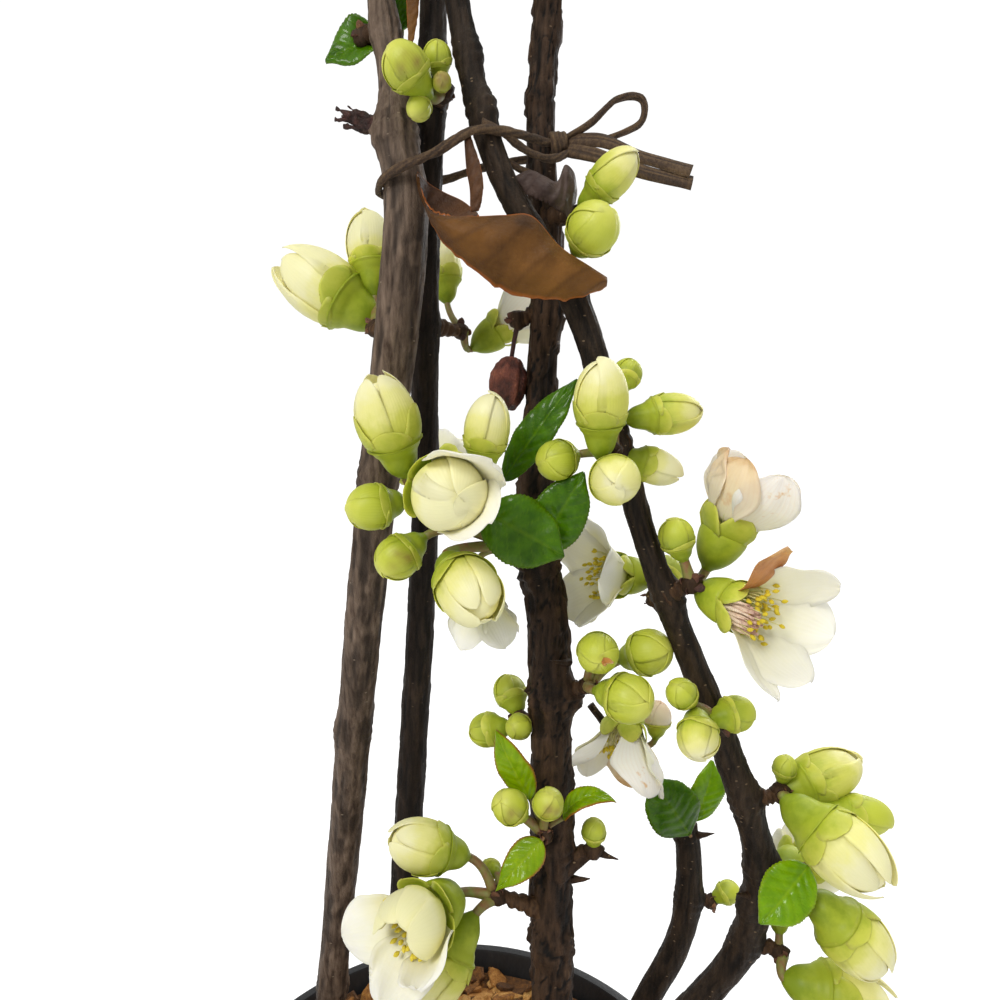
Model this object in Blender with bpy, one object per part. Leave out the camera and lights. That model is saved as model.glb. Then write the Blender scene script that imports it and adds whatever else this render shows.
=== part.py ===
"""Potted flowering quince: a multi-stemmed shrub in a round nursery pot, in bud and blossom.

Metres, +Z up. The origin is the centre of the pot's flat underside. +X is to the plant's right
when it is seen from the front, which faces -Y. Every stem, bough and cluster is one closed solid,
and neighbours keep a gap of CLEARANCE.
"""

import math
import random

import bmesh
import bpy
from mathutils import Vector

MM = 0.001
CLEARANCE = 0.3 * MM

# Pot and potting mix
POT_SEGMENTS = 28
POT_HEIGHT = 150 * MM
POT_FOOT_RADIUS = 57 * MM
POT_MOUTH_RADIUS = 76 * MM
POT_RIM_RADIUS = 80 * MM
POT_RIM_DEPTH = 13 * MM
POT_WALL = 2 * MM
DRAIN_HOLES = 8
DRAIN_HOLE_RADIUS = 5 * MM
DRAIN_RING_RADIUS = 42 * MM
SOIL_LEVEL = 142 * MM
SOIL_BUMP = 3 * MM
STEM_FOOT = SOIL_LEVEL + CLEARANCE

# Stems: places in millimetres from the foot up, with the radius there
STEM_SIDES = 8
STEM_STEP = 20 * MM
ROOT_FLARE = 1.45
ROOT_FLARE_HEIGHT = 14 * MM
STEMS = {
    "stem_left": (
        (-46, 38, 142, 4.7), (-36, 28, 217, 4.8), (-21, 6, 322, 5.1), (-9, -5, 400, 5.4),
        (-10, -4, 425, 4.8), (-14, 1, 458, 3.3), (-30, -6, 540, 2.9), (-44, -12, 625, 2.0),
    ),
    "stem_rear": (
        (-20, 26, 142, 4.6), (-17, 26, 200, 4.3), (-8, 21, 320, 3.9), (-6, 12, 390, 3.7),
        (-3, 4, 433, 3.5), (-2, 3, 460, 3.3), (-2, 14, 530, 2.9), (6, 32, 640, 2.0),
    ),
    "stem_middle": (
        (29, -6, 142, 6.2), (28, -4, 230, 5.8), (27, 0, 302, 5.5), (23, 2, 336, 4.6),
        (26, 5, 395, 3.8), (24, 7, 434, 3.7), (26, 10, 470, 3.5), (27, 5, 560, 2.9),
        (22, -4, 680, 1.9),
    ),
    "stem_right": (
        (46, 8, 142, 4.4), (56, 8, 168, 4.3), (72, 6, 190, 4.2), (82, 2, 210, 4.2),
        (84, -5, 240, 4.2), (72, -10, 276, 3.6), (50, -13, 329, 3.2), (33, -11, 384, 3.1),
        (14, -10, 417, 3.0), (4, -7, 456, 2.8), (-3, -18, 510, 2.6), (4, -42, 600, 1.9),
    ),
    "stem_rear_right": (
        (52, 33, 142, 4.4), (64, 36, 165, 4.3), (75, 37, 190, 4.2), (76, 39, 220, 3.9),
        (68, 41, 236, 2.1), (60, 42, 244, 1.9), (44, 46, 264, 1.3),
    ),
}

# Side boughs of the crown: the stem and height it leaves from, its tip in millimetres
BOUGH_SIDES = 6
BOUGH_STEP = 22 * MM
BOUGH_RADII = (2.3 * MM, 1.5 * MM)
BOUGH_SAG = 0.16
BOUGHS = {
    "bough_front_left": ("stem_left", 505, (-66, -30, 556)),
    "bough_back_left": ("stem_left", 556, (-74, 28, 606)),
    "bough_back": ("stem_rear", 512, (-22, 66, 566)),
    "bough_back_right": ("stem_rear", 584, (52, 72, 628)),
    "bough_right": ("stem_middle", 492, (74, 18, 542)),
    "bough_front_right": ("stem_middle", 572, (66, -30, 622)),
    "bough_front": ("stem_right", 528, (26, -70, 566)),
}

# Crown masses: one on each stem tip and bough tip, with the length of its leading twig in
# millimetres and its seed
MASSES = {
    "mass_left_top": ("stem_left", 92, 11),
    "mass_rear_top": ("stem_rear", 84, 12),
    "mass_middle_top": ("stem_middle", 80, 13),
    "mass_right_top": ("stem_right", 88, 14),
    "mass_front_left": ("bough_front_left", 98, 15),
    "mass_back_left": ("bough_back_left", 94, 16),
    "mass_back": ("bough_back", 96, 17),
    "mass_back_right": ("bough_back_right", 90, 18),
    "mass_right": ("bough_right", 98, 19),
    "mass_front_right": ("bough_front_right", 92, 20),
    "mass_front": ("bough_front", 90, 21),
}
MASS_SPACE = 0.80
TWIG_SIDES = 3
TWIG_RADII = (1.5 * MM, 0.7 * MM)
TWIG_JOINT = 22 * MM
TWIG_WAVER = 0.16
TWIG_RISE = 0.35
SIDE_TWIGS = 2
SIDE_TWIG_SHARE = (0.42, 0.58)
SPUR_LENGTH = 5 * MM
TIP_TUFT = ("blossom", "bud", "leaf")
SPUR_TUFT = ("bud", "leaf")
TUFT_REACH = {"flower": 13, "half": 12, "bud": 11, "tight": 9, "swollen": 14, "leaf": 13}
TUFT_SPREAD = (0.55, 1.0)
GOLDEN_ANGLE = math.radians(137.5)

# Flowering spurs on the stems: stem, height, spur tip from the stem's axis, then its items as
# (kind, scale, place from the spur tip, way it points or None where it points straight out)
SPUR_RADII = (2.3 * MM, 1.5 * MM)
SPUR_SIDES = 5
CLUSTERS = {
    "cluster_middle_front": ("stem_middle", 322, (-8, -15, 8), (
        ("opening", 1.05, (-27, -8, 28), (-3, -2, 8)),
        ("swollen", 0.90, (-6, -10, 26), (0, -1, 8)),
        ("half", 1.00, (-14, -19, 16), (-3, -8, -3)),
        ("bud", 1.05, (-31, -6, 10), (-9, -3, 1)),
        ("bud", 1.00, (-25, -8, -1), (-7, -4, -5)),
        ("opening", 0.95, (-10, -16, -6), (-1, -8, -5)),
        ("flower", 0.62, (-6, 3, -22), (1, -2, -8)),
        ("leaf", 1.40, (7, 0, 29), (5, 0, 7)),
        ("leaf", 1.25, (4, -10, 7), (8, -4, -3)),
        ("leaf", 1.05, (14, -2, 10), (5, -3, 2)),
    )),
    "cluster_right_upper": ("stem_right", 354, (-3, -7, -1), (
        ("swollen", 1.03, (-1, -7, 10), (0, -3, 8)),
        ("tight", 0.90, (8, 1, 17), (3, 3, 6)),
        ("swollen", 0.95, (16, 5, 9), (9, 1, 1)),
        ("bud", 0.90, (-9, 1, -2), None),
        ("bud", 1.05, (2, -9, -5), (1, -9, -3)),
        ("opening", 0.78, (15, 5, -5), (7, 3, -2)),
    )),
    "cluster_right_flower": ("stem_right", 317, (5, -5, 4), (
        ("tight", 1.10, (-4, -1, 11), None),
        ("half", 1.10, (12, 7, 15), (5, 1, 6)),
        ("flower", 1.00, (16, -7, -6), (5, -8, -1)),
    )),
    "cluster_middle_right": ("stem_middle", 287, (9, -5, 4), (
        ("bud", 0.95, (1, -12, 13), (0, -7, 5)),
        ("bud", 1.10, (14, -4, 10), None),
        ("bud", 1.12, (7, -15, 3), None),
    )),
    "cluster_middle_left": ("stem_middle", 279, (-8, 4, -1), (
        ("tight", 1.20, (-3, 5, 6), None),
        ("tight", 1.25, (-9, 3, -3), None),
        ("tight", 0.90, (-2, -6, 2), None),
    )),
    "cluster_right_middle": ("stem_right", 285, (0, -7, 2), (
        ("tight", 0.95, (-8, -5, 8), None),
        ("bud", 0.95, (-6, -8, -3), (-1, -7, -5)),
        ("bud", 0.95, (9, -1, -2), (8, 2, 1)),
    )),
    "cluster_middle_low": ("stem_middle", 246, (-3, -8, 8), (
        ("tight", 1.15, (-8, -6, 10), None),
        ("tight", 1.00, (1, -8, 12), None),
        ("leaf", 0.95, (-8, -3, 21), (-4, -1, 7)),
        ("leaf", 0.72, (12, -3, 10), (8, 0, 2)),
        ("leaf", 0.90, (-7, -5, -5), (-6, -2, -6)),
    )),
    "cluster_middle_stub": ("stem_middle", 240, (11, -3, 5), (
        ("tight", 0.85, (0, 0, 5), (0, 0, 8)),
        ("thorn", 0.60, (4, 0, -3), (6, 0, -1)),
    )),
    "cluster_middle_foot": ("stem_middle", 226, (-15, -6, 9), (
        ("opening", 1.05, (-17, -4, 16), (-8, -1, 4)),
        ("half", 1.35, (-19, -18, 6), (-6, -6, -3)),
        ("swollen", 1.25, (-13, -10, -12), (-5, -3, -7)),
        ("tight", 0.70, (-4, 8, -2), None),
    )),
    "cluster_right_shoulder": ("stem_right", 260, (9, 0, 3), (
        ("tight", 0.80, (1, 1, 6), (1, 0, 7)),
        ("swollen", 1.15, (13, 4, 1), (8, 1, 3)),
        ("swollen", 0.92, (23, -1, -6), (8, 0, -1)),
        ("opening", 1.25, (9, -14, -5), (6, -6, -4)),
    )),
    "cluster_right_elbow": ("stem_right", 240, (8, -3, 0), (
        ("leaf", 1.00, (-7, -15, -3), (-3, -4, -6)),
        ("opening", 1.20, (14, -6, -13), (6, -1, -6)),
        ("half", 1.00, (10, 19, -10), (6, 5, -2)),
    )),
    "cluster_right_foot": ("stem_right", 214, (9, -2, -3), (
        ("opening", 1.25, (16, -8, -6), (9, -1, -2)),
        ("tight", 1.00, (2, 6, 7), None),
    )),
    "cluster_rear_right_top": ("stem_rear_right", 230, (-4, -9, 6), (
        ("leaf", 1.05, (1, -2, 4), (-1, -4, 6)),
        ("leaf", 0.80, (14, 3, -3), (8, 2, -3)),
    )),
    "cluster_rear_right_side": ("stem_rear_right", 200, (8, 1, -2), (
        ("tight", 1.00, (5, 0, 3), (6, 0, 3)),
    )),
    "cluster_rear_right_flower": ("stem_rear_right", 250, (0, -5, 2), (
        ("flower", 1.05, (-4, -11, 9), (-3, -7, 4)),
        ("bud", 0.90, (10, 2, 3), None),
    )),
    "cluster_right_back": ("stem_right", 316, (0, 14, -4), (
        ("flower", 0.95, (-10, 6, 5), (-8, -3, 1)),
        ("bud", 1.00, (4, 8, 4), None),
    )),
    "cluster_left_back": ("stem_left", 382, (-8, 16, 1), (
        ("opening", 1.30, (-14, 12, 11), (-8, 1, 5)),
        ("swollen", 1.05, (-3, 14, 22), (-1, 2, 8)),
        ("leaf", 0.90, (8, 12, 2), None),
    )),
    "cluster_rear_gap": ("stem_rear", 384, (9, 11, -1), (
        ("flower", 0.90, (13, 6, 2), (6, 0, 4)),
        ("opening", 0.80, (-5, 7, 17), (-1, 2, 8)),
    )),
    "cluster_rear_tie": ("stem_rear", 436, (4, -8, -1), (
        ("bud", 0.98, (-8, -9, 2), (-5, -4, 5)),
        ("tight", 0.85, (-1, -3, 7), None),
        ("tight", 0.55, (0, -8, 0), None),
        ("tight", 0.65, (-6, -6, -4), None),
    )),
    "cluster_tie_right": ("stem_middle", 410, (7, -10, -2), (
        ("swollen", 0.90, (6, -7, 6), (6, -4, 6)),
        ("bud", 1.12, (2, -12, -6), (2, -8, -1)),
    )),
    "cluster_left_high": ("stem_left", 452, (-6, 3, 0), (
        ("leaf", 0.85, (-6, 6, -1), (-7, 1, -2)),
        ("leaf", 0.75, (1, 7, 8), (-3, 1, 7)),
    )),
    "cluster_middle_husk": ("stem_middle", 386, (-7, 0, -2), (
        ("husk", 1.00, (-4, -1, -13), (-1, 0, -8)),
    )),
    "cluster_rear_back": ("stem_rear", 338, (1, 12, 3), (
        ("half", 0.95, (1, 15, 3), None),
        ("bud", 1.00, (-8, 7, 2), None),
        ("leaf", 0.90, (5, 8, -7), None),
    )),
    "cluster_left_upper": ("stem_left", 484, (-9, 6, 4), (
        ("flower", 0.95, (-13, 4, 7), None),
        ("bud", 1.00, (-3, 11, 2), None),
        ("tight", 1.00, (-6, -8, 2), None),
        ("leaf", 1.00, (-4, 5, 13), None),
    )),
    "cluster_rear_upper": ("stem_rear", 488, (-4, 10, 4), (
        ("flower", 0.95, (-4, 13, 7), None),
        ("bud", 1.05, (8, 9, 0), None),
        ("tight", 1.00, (-9, 5, -2), None),
        ("leaf", 1.00, (4, 9, 14), None),
    )),
    "cluster_middle_upper": ("stem_middle", 530, (9, 4, 5), (
        ("flower", 1.00, (13, 6, 4), None),
        ("bud", 1.05, (4, 10, 6), None),
        ("swollen", 0.90, (6, -9, 4), None),
        ("leaf", 1.00, (8, 0, 15), None),
    )),
    "cluster_right_high": ("stem_right", 486, (6, -7, 4), (
        ("half", 1.00, (10, -9, 4), None),
        ("bud", 1.00, (-1, -10, 7), None),
        ("leaf", 1.00, (11, 0, 8), None),
    )),
}

# Bud and flower sizes at scale 1, in millimetres: length, width. A profile gives the share of the
# width along the share of the length, up to the point
BUD_SIZES = {"tight": (9, 8), "bud": (12.5, 11), "swollen": (20, 12), "opening": (21, 14),
             "husk": (13, 9)}
BUD_PROFILES = {
    "tight": ((0.08, 0.70), (0.62, 1.0)),
    "bud": ((0.08, 0.66), (0.62, 1.0)),
    "swollen": ((0.06, 0.50), (0.45, 1.0), (0.82, 0.72)),
    "opening": ((0.06, 0.44), (0.48, 1.0), (0.86, 0.80)),
    "husk": ((0.08, 0.60), (0.60, 1.0)),
}
BUD_SIDES = 5
STALK_RADIUS = 1.1 * MM
KNUCKLE_RADIUS = 2.6 * MM
# Petals of an open and a half-open flower: reach, rise of the tips, and what stands in the
# middle as (height, radius) rings up to a point, all in millimetres. Rim as (turn, share of reach)
PETALS = 5
BLOSSOMS = {
    "flower": (18.0, 7.0, ((1.8, 2.0),), 2.6),
    "half": (13.5, 9.0, ((3.5, 6.8), (10.5, 5.2)), 13.5),
}
PETAL_RIM = ((-0.3, 0.94), (0.0, 1.03), (0.3, 0.94), (0.5, 0.62))
CUP_RINGS = ((-9.5, 1.3), (-4.5, 4.3), (-0.4, 2.6))
LEAF_LENGTH = 22 * MM
LEAF_WIDTH = 9.5 * MM
LEAF_THICKNESS = 0.6 * MM
LEAF_OUTLINE = ((0.20, 0.10, 0.0), (0.48, 1.0, 0.8), (0.78, 0.74, 0.6))
LEAF_BEND = -0.10
THORN_LENGTH = 12 * MM

# Garden tie round the stems, and the curled dead leaf caught in it. Places in millimetres
TIE_RADIUS = 1.15 * MM
TIE_SIDES = 5
TIE_STEP = 6 * MM
TIE_RING = (
    (-17, -4, 414), (-14, -11, 415), (-8, -13, 417), (0, -14, 420), (8, -15, 424), (16, -11, 425),
    (25, -1, 426), (30, 4, 427), (31, 10, 427), (26, 14, 427), (12, 14, 425), (-4, 13, 420),
    (-14, 5, 415),
)
TIE_LOOP = (
    (29, 1, 427), (36, 1, 431), (42, 0, 436), (48, 0, 436), (48, 1, 431), (41, 2, 428),
    (33, 3, 426),
)
TIE_TAILS = (
    ((29, 2, 427), (38, -2, 426), (47, -4, 422), (59, -6, 418)),
    ((29, 1, 425), (37, -4, 422), (47, -6, 418), (59, -7, 415)),
)
TIE_TAIL_RADIUS = 1.5 * MM
DEAD_LEAF_TOP = ((-4, -18, 413), (-2, -20, 407), (3, -23, 404), (12, -24, 404), (21, -23, 404))
DEAD_LEAF_TIP = (38, -18, 389)
DEAD_LEAF_DROP = 17 * MM
DEAD_LEAF_THICKNESS = 0.7 * MM

MATERIALS = {
    "pot_plastic": ((0.018, 0.019, 0.021), 0.42),
    "potting_bark": ((0.16, 0.075, 0.032), 0.9),
    "bark": ((0.060, 0.040, 0.032), 0.62),
    "blossom": ((0.62, 0.70, 0.34), 0.5),
    "tie_fibre": ((0.085, 0.052, 0.03), 0.75),
    "dead_leaf": ((0.19, 0.085, 0.03), 0.7),
}


def clear_scene():
    """Removes whatever the start-up scene holds."""
    for obj in list(bpy.data.objects):
        bpy.data.objects.remove(obj)


def material(name):
    """The plain finish of that name, made once."""
    made = bpy.data.materials.get(name)
    if made is None:
        colour, roughness = MATERIALS[name]
        made = bpy.data.materials.new(name)
        made.use_nodes = True
        shader = made.node_tree.nodes["Principled BSDF"]
        shader.inputs["Base Color"].default_value = (*colour, 1)
        shader.inputs["Roughness"].default_value = roughness
        shader.inputs["Metallic"].default_value = 0
    return made


def place(millimetres):
    """A place given in millimetres, as a vector in metres."""
    return Vector(millimetres[:3]) * MM


def new_object(name, points, faces, finish, smooth=True):
    """An object from points and faces, its normals turned outwards."""
    mesh = bpy.data.meshes.new(name)
    mesh.from_pydata([tuple(p) for p in points], [], faces)
    worker = bmesh.new()
    worker.from_mesh(mesh)
    bmesh.ops.recalc_face_normals(worker, faces=worker.faces)
    worker.to_mesh(mesh)
    worker.free()
    if smooth:
        mesh.shade_smooth()
        mesh.set_sharp_from_angle(angle=math.radians(50))
    obj = bpy.data.objects.new(name, mesh)
    mesh.materials.append(material(finish))
    bpy.context.scene.collection.objects.link(obj)
    return obj


# Curves and basic solids ------------------------------------------------------------------------


def spline_point(knots, t):
    """Point on the Catmull-Rom curve through equally long rows of numbers, t from 0 to 1."""
    spans = len(knots) - 1
    i = min(int(t * spans), spans - 1)
    u = t * spans - i
    a, b = knots[max(i - 1, 0)], knots[i]
    c, d = knots[i + 1], knots[min(i + 2, spans)]
    return [
        0.5 * (2 * q + (r - p) * u + (2 * p - 5 * q + 4 * r - s) * u * u
               + (3 * q - p - 3 * r + s) * u ** 3)
        for p, q, r, s in zip(a, b, c, d)
    ]


def route(knots, step):
    """Points about step apart along the curve through knots, which may carry a radius."""
    fine = [spline_point(knots, i / 200) for i in range(201)]
    lengths = [0.0]
    for p, q in zip(fine, fine[1:]):
        lengths.append(lengths[-1] + math.dist(p[:3], q[:3]))
    count = max(2, round(lengths[-1] * MM / step))
    found = []
    for k in range(count + 1):
        wanted = lengths[-1] * k / count
        i = min(next(j for j, at in enumerate(lengths) if at >= wanted - 1e-9), len(fine) - 1)
        found.append(fine[i])
    return found


def side_axes(direction, hint=Vector((0, -1, 0.2))):
    """Two unit vectors square to direction, the first as near to hint as it can be."""
    across = hint - direction * hint.dot(direction)
    if across.length < 1e-4:
        across = Vector((1, 0, 0)) - direction * direction.x
    across.normalize()
    return across, direction.cross(across).normalized()


def tube(points, radii, sides, pointed=False):
    """Closed tube of that many sides: a ring square to the path at each point, flat ends."""
    rings, faces = [], []
    across = None
    for i, centre in enumerate(points):
        before, after = points[max(i - 1, 0)], points[min(i + 1, len(points) - 1)]
        direction = (after - before).normalized()
        across, other = side_axes(direction, across or Vector((0.3, -1, 0.2)))
        for k in range(sides):
            angle = math.tau * k / sides
            rings.append(centre + (across * math.cos(angle) + other * math.sin(angle)) * radii[i])
    for i in range(len(points) - 1):
        for k in range(sides):
            a, b = i * sides + k, i * sides + (k + 1) % sides
            faces.append((a, b, b + sides, a + sides))
    last = (len(points) - 1) * sides
    faces.append(tuple(range(sides))[::-1])
    if pointed:
        rings.append(points[-1] + (points[-1] - points[-2]).normalized() * radii[-1])
        faces += [(last + k, last + (k + 1) % sides, last + sides) for k in range(sides)]
    else:
        faces.append(tuple(range(last, last + sides)))
    return rings, faces


def blade(root, aim, normal, length, stations, thickness, curl=0.0):
    """Thin closed blade. A station is (share of length, half width, rise of the middle)."""
    aim = aim.normalized()
    normal = (normal - aim * normal.dot(aim)).normalized()
    across = aim.cross(normal)

    def at(share):
        bend = curl * share * share * length
        return root + aim * (length * share) + normal * bend

    half = thickness / 2
    points, faces = [at(0.0)], []
    for share, half_width, rise in stations:
        middle = at(share)
        points += [
            middle + across * half_width, middle - across * half_width,
            middle + normal * (half - rise), middle - normal * (half + rise),
        ]
    points.append(at(1.0))
    tip = len(points) - 1
    first, last = 1, tip - 4
    left, right, top, under = range(first, first + 4)
    faces += [(0, left, top), (0, top, right), (0, under, left), (0, right, under)]
    for a in range(first, last, 4):
        b = a + 4
        for p, q in ((0, 2), (2, 1), (1, 3), (3, 0)):
            faces.append((a + p, b + p, b + q, a + q))
    left, right, top, under = range(last, last + 4)
    faces += [(left, tip, top), (top, tip, right), (under, tip, left), (right, tip, under)]
    return points, faces


def keep_outer_shell(mesh):
    """Keeps the largest closed shell, which fills sealed hollows and drops loose scraps."""
    worker = bmesh.new()
    worker.from_mesh(mesh)
    worker.verts.ensure_lookup_table()
    unseen = set(worker.verts)
    shells = []
    while unseen:
        front = [unseen.pop()]
        shell = set(front)
        while front:
            for edge in front.pop().link_edges:
                for vert in edge.verts:
                    if vert in unseen:
                        unseen.remove(vert)
                        shell.add(vert)
                        front.append(vert)
        shells.append(shell)
    if len(shells) > 1:
        largest = max(shells, key=lambda shell: max(
            (a.co - next(iter(shell)).co).length for a in shell))
        scraps = [vert for shell in shells if shell is not largest for vert in shell]
        bmesh.ops.delete(worker, geom=scraps, context="VERTS")
        worker.to_mesh(mesh)
    worker.free()


def fuse(name, solids, finish):
    """Joins closed solids, given as (points, faces), into one object by a Boolean union."""
    base = new_object(name, *solids[0], finish, smooth=False)
    group = bpy.data.collections.new(name + "_pieces")
    for i, (points, faces) in enumerate(solids[1:]):
        piece = new_object(f"{name}_piece_{i}", points, faces, finish, smooth=False)
        bpy.context.scene.collection.objects.unlink(piece)
        group.objects.link(piece)
    union = base.modifiers.new("union", "BOOLEAN")
    union.operation = "UNION"
    union.operand_type = "COLLECTION"
    union.collection = group
    union.solver = "MANIFOLD"
    graph = bpy.context.evaluated_depsgraph_get()
    joined = bpy.data.meshes.new_from_object(base.evaluated_get(graph))
    base.modifiers.remove(union)
    base.data = joined
    for piece in list(group.objects):
        bpy.data.objects.remove(piece)
    bpy.data.collections.remove(group)
    keep_outer_shell(base.data)
    base.data.materials.clear()
    base.data.materials.append(material(finish))
    return base


# Pot --------------------------------------------------------------------------------------------


def turned(profile, segments=POT_SEGMENTS):
    """Closed solid turned about Z from a profile of (radius, height) that ends on the axis."""
    points, faces, rows = [], [], []
    for radius, height in profile:
        if radius < 1e-9:
            rows.append([len(points)] * segments)
            points.append(Vector((0, 0, height)))
            continue
        rows.append(list(range(len(points), len(points) + segments)))
        for k in range(segments):
            angle = math.tau * k / segments
            points.append(Vector((radius * math.cos(angle), radius * math.sin(angle), height)))
    for low, high in zip(rows, rows[1:]):
        for k in range(segments):
            n = (k + 1) % segments
            corners = (low[k], low[n], high[n], high[k])
            faces.append(tuple(dict.fromkeys(corners)))
    return points, faces


def inner_radius(height):
    """Radius of the pot's inner wall at a height."""
    share = height / POT_HEIGHT
    outer = POT_FOOT_RADIUS + (POT_MOUTH_RADIUS + POT_WALL - POT_FOOT_RADIUS) * share
    return outer - POT_WALL


def make_pot():
    """Tapered round pot with a stepped rim, a flat underside and a ring of drain holes."""
    rim_foot = POT_HEIGHT - POT_RIM_DEPTH
    lip = 1.2 * MM
    profile = [
        (0, 0),
        (POT_FOOT_RADIUS - lip, 0),
        (POT_FOOT_RADIUS, lip),
        (inner_radius(rim_foot) + POT_WALL, rim_foot),
        (POT_RIM_RADIUS - lip, rim_foot + lip / 2),
        (POT_RIM_RADIUS, rim_foot + 2 * lip),
        (POT_RIM_RADIUS, POT_HEIGHT - lip),
        (POT_RIM_RADIUS - lip, POT_HEIGHT),
        (inner_radius(POT_HEIGHT) + lip / 2, POT_HEIGHT),
        (inner_radius(POT_HEIGHT - lip), POT_HEIGHT - lip),
        (inner_radius(POT_WALL), POT_WALL),
        (0, POT_WALL),
    ]
    pot = new_object("pot", *turned(profile), "pot_plastic")
    cutters = bpy.data.collections.new("drain_hole_cutters")
    for k in range(DRAIN_HOLES):
        angle = math.tau * (k + 0.5) / DRAIN_HOLES
        centre = Vector((math.cos(angle), math.sin(angle), 0)) * DRAIN_RING_RADIUS
        reach = Vector((0, 0, 3 * POT_WALL))
        ring = tube([centre - reach, centre + reach], [DRAIN_HOLE_RADIUS] * 2, 6)
        cutter = new_object(f"drain_cutter_{k}", *ring, "pot_plastic", smooth=False)
        bpy.context.scene.collection.objects.unlink(cutter)
        cutters.objects.link(cutter)
        cutter.hide_render = True
        cutter.display_type = "WIRE"
    cut = pot.modifiers.new("drain_holes", "BOOLEAN")
    cut.operation = "DIFFERENCE"
    cut.operand_type = "COLLECTION"
    cut.collection = cutters
    return pot


def make_soil():
    """Bark mulch that fills the pot, uneven on top but flat where the stems stand."""
    rings = 4
    feet = [place(knots[0]) for knots in STEMS.values()]
    profile = [(0, POT_WALL + CLEARANCE), (inner_radius(POT_WALL) - 2 * CLEARANCE, POT_WALL + CLEARANCE)]
    edge = inner_radius(SOIL_LEVEL) - CLEARANCE
    profile.append((edge, SOIL_LEVEL - 2 * MM))
    profile += [(edge * (1 - k / rings) * 0.985, SOIL_LEVEL) for k in range(rings)]
    profile.append((0, SOIL_LEVEL))
    points, faces = turned(profile)
    rng = random.Random(5)
    for p in points:
        lift = rng.uniform(-1, 1) * SOIL_BUMP
        if p.z >= SOIL_LEVEL - MM / 2:
            nearest = min((Vector((p.x, p.y)) - Vector((f.x, f.y))).length for f in feet)
            p.z += lift * min(max((nearest - 17 * MM) / (9 * MM), 0), 1)
    return new_object("potting_bark", points, faces, "potting_bark")


# Limbs ------------------------------------------------------------------------------------------


def stem_line(name):
    """Route of a stem with its radii, both in metres, flaring at the foot."""
    line = route(STEMS[name], STEM_STEP)
    points = [place(p) for p in line]
    points[0].z = STEM_FOOT
    radii = []
    for p, row in zip(points, line):
        above = (p.z - STEM_FOOT) / ROOT_FLARE_HEIGHT
        flare = 1 + (ROOT_FLARE - 1) * max(0.0, 1 - above) ** 2
        radii.append(row[3] * MM * flare)
    return points, radii


def flat_foot(solid, sides):
    """Turns a stem's lowest ring level, so that it is cut flat at the ground."""
    points, _ = solid
    for p in points[:sides]:
        p.z = STEM_FOOT
    return solid


def limb_at(name, height):
    """Axis point, radius and direction of a stem at a height in metres."""
    points, radii = stem_line(name)
    for i in range(len(points) - 1):
        a, b = points[i], points[i + 1]
        if min(a.z, b.z) <= height <= max(a.z, b.z):
            share = (height - a.z) / (b.z - a.z)
            return a.lerp(b, share), radii[i] + (radii[i + 1] - radii[i]) * share, (b - a).normalized()
    raise ValueError(f"{name} does not reach {height}")


def clear_start(axis_point, radius, axis, direction, own_radius):
    """Where a side limb's flat root sits, CLEARANCE off the limb that it leaves."""
    cosine = abs(direction.dot(axis))
    sine = math.sqrt(max(1 - cosine * cosine, 1e-6))
    return axis_point + direction * ((radius + CLEARANCE + own_radius * cosine) / sine)


def bough_line(name):
    """Route and radii of a side bough, which rises in a shallow curve to its tip."""
    parent, height, tip = BOUGHS[name]
    centre, radius, axis = limb_at(parent, height * MM)
    end = place(tip)
    lift = Vector((0, 0, -BOUGH_SAG * (end - centre).length))
    middle = (centre + end) / 2 + lift
    direction = (middle - centre).normalized()
    start = clear_start(centre, radius, axis, direction, BOUGH_RADII[0])
    count = max(3, round((end - start).length / BOUGH_STEP))
    points, radii = [], []
    for i in range(count + 1):
        t = i / count
        points.append(start * (1 - t) ** 2 + middle * 2 * t * (1 - t) + end * t * t)
        radii.append(BOUGH_RADII[0] + (BOUGH_RADII[1] - BOUGH_RADII[0]) * t)
    return points, radii


def make_limbs():
    """Every stem and every side bough, each one tapering solid."""
    for name in STEMS:
        points, radii = stem_line(name)
        solid = flat_foot(tube(points, radii, STEM_SIDES), STEM_SIDES)
        new_object(name, *solid, "bark")
    for name in BOUGHS:
        points, radii = bough_line(name)
        new_object(name, *tube(points, radii, BOUGH_SIDES), "bark")


# Buds, blossoms and leaves ----------------------------------------------------------------------


def bud_solids(kind, scale, root, centre, aim):
    """A bud on its stalk: one swelling tube from the spur tip to the bud's point."""
    length, width = (value * MM * scale for value in BUD_SIZES[kind])
    base = centre - aim * length / 2
    points, radii = [root], [STALK_RADIUS]
    for share, swell in BUD_PROFILES[kind]:
        points.append(base + aim * (length * share))
        radii.append(width / 2 * swell)
    ring, faces = tube(points, radii, BUD_SIDES, pointed=True)
    ring[-1] = base + aim * length
    return [(ring, faces)]


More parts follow.
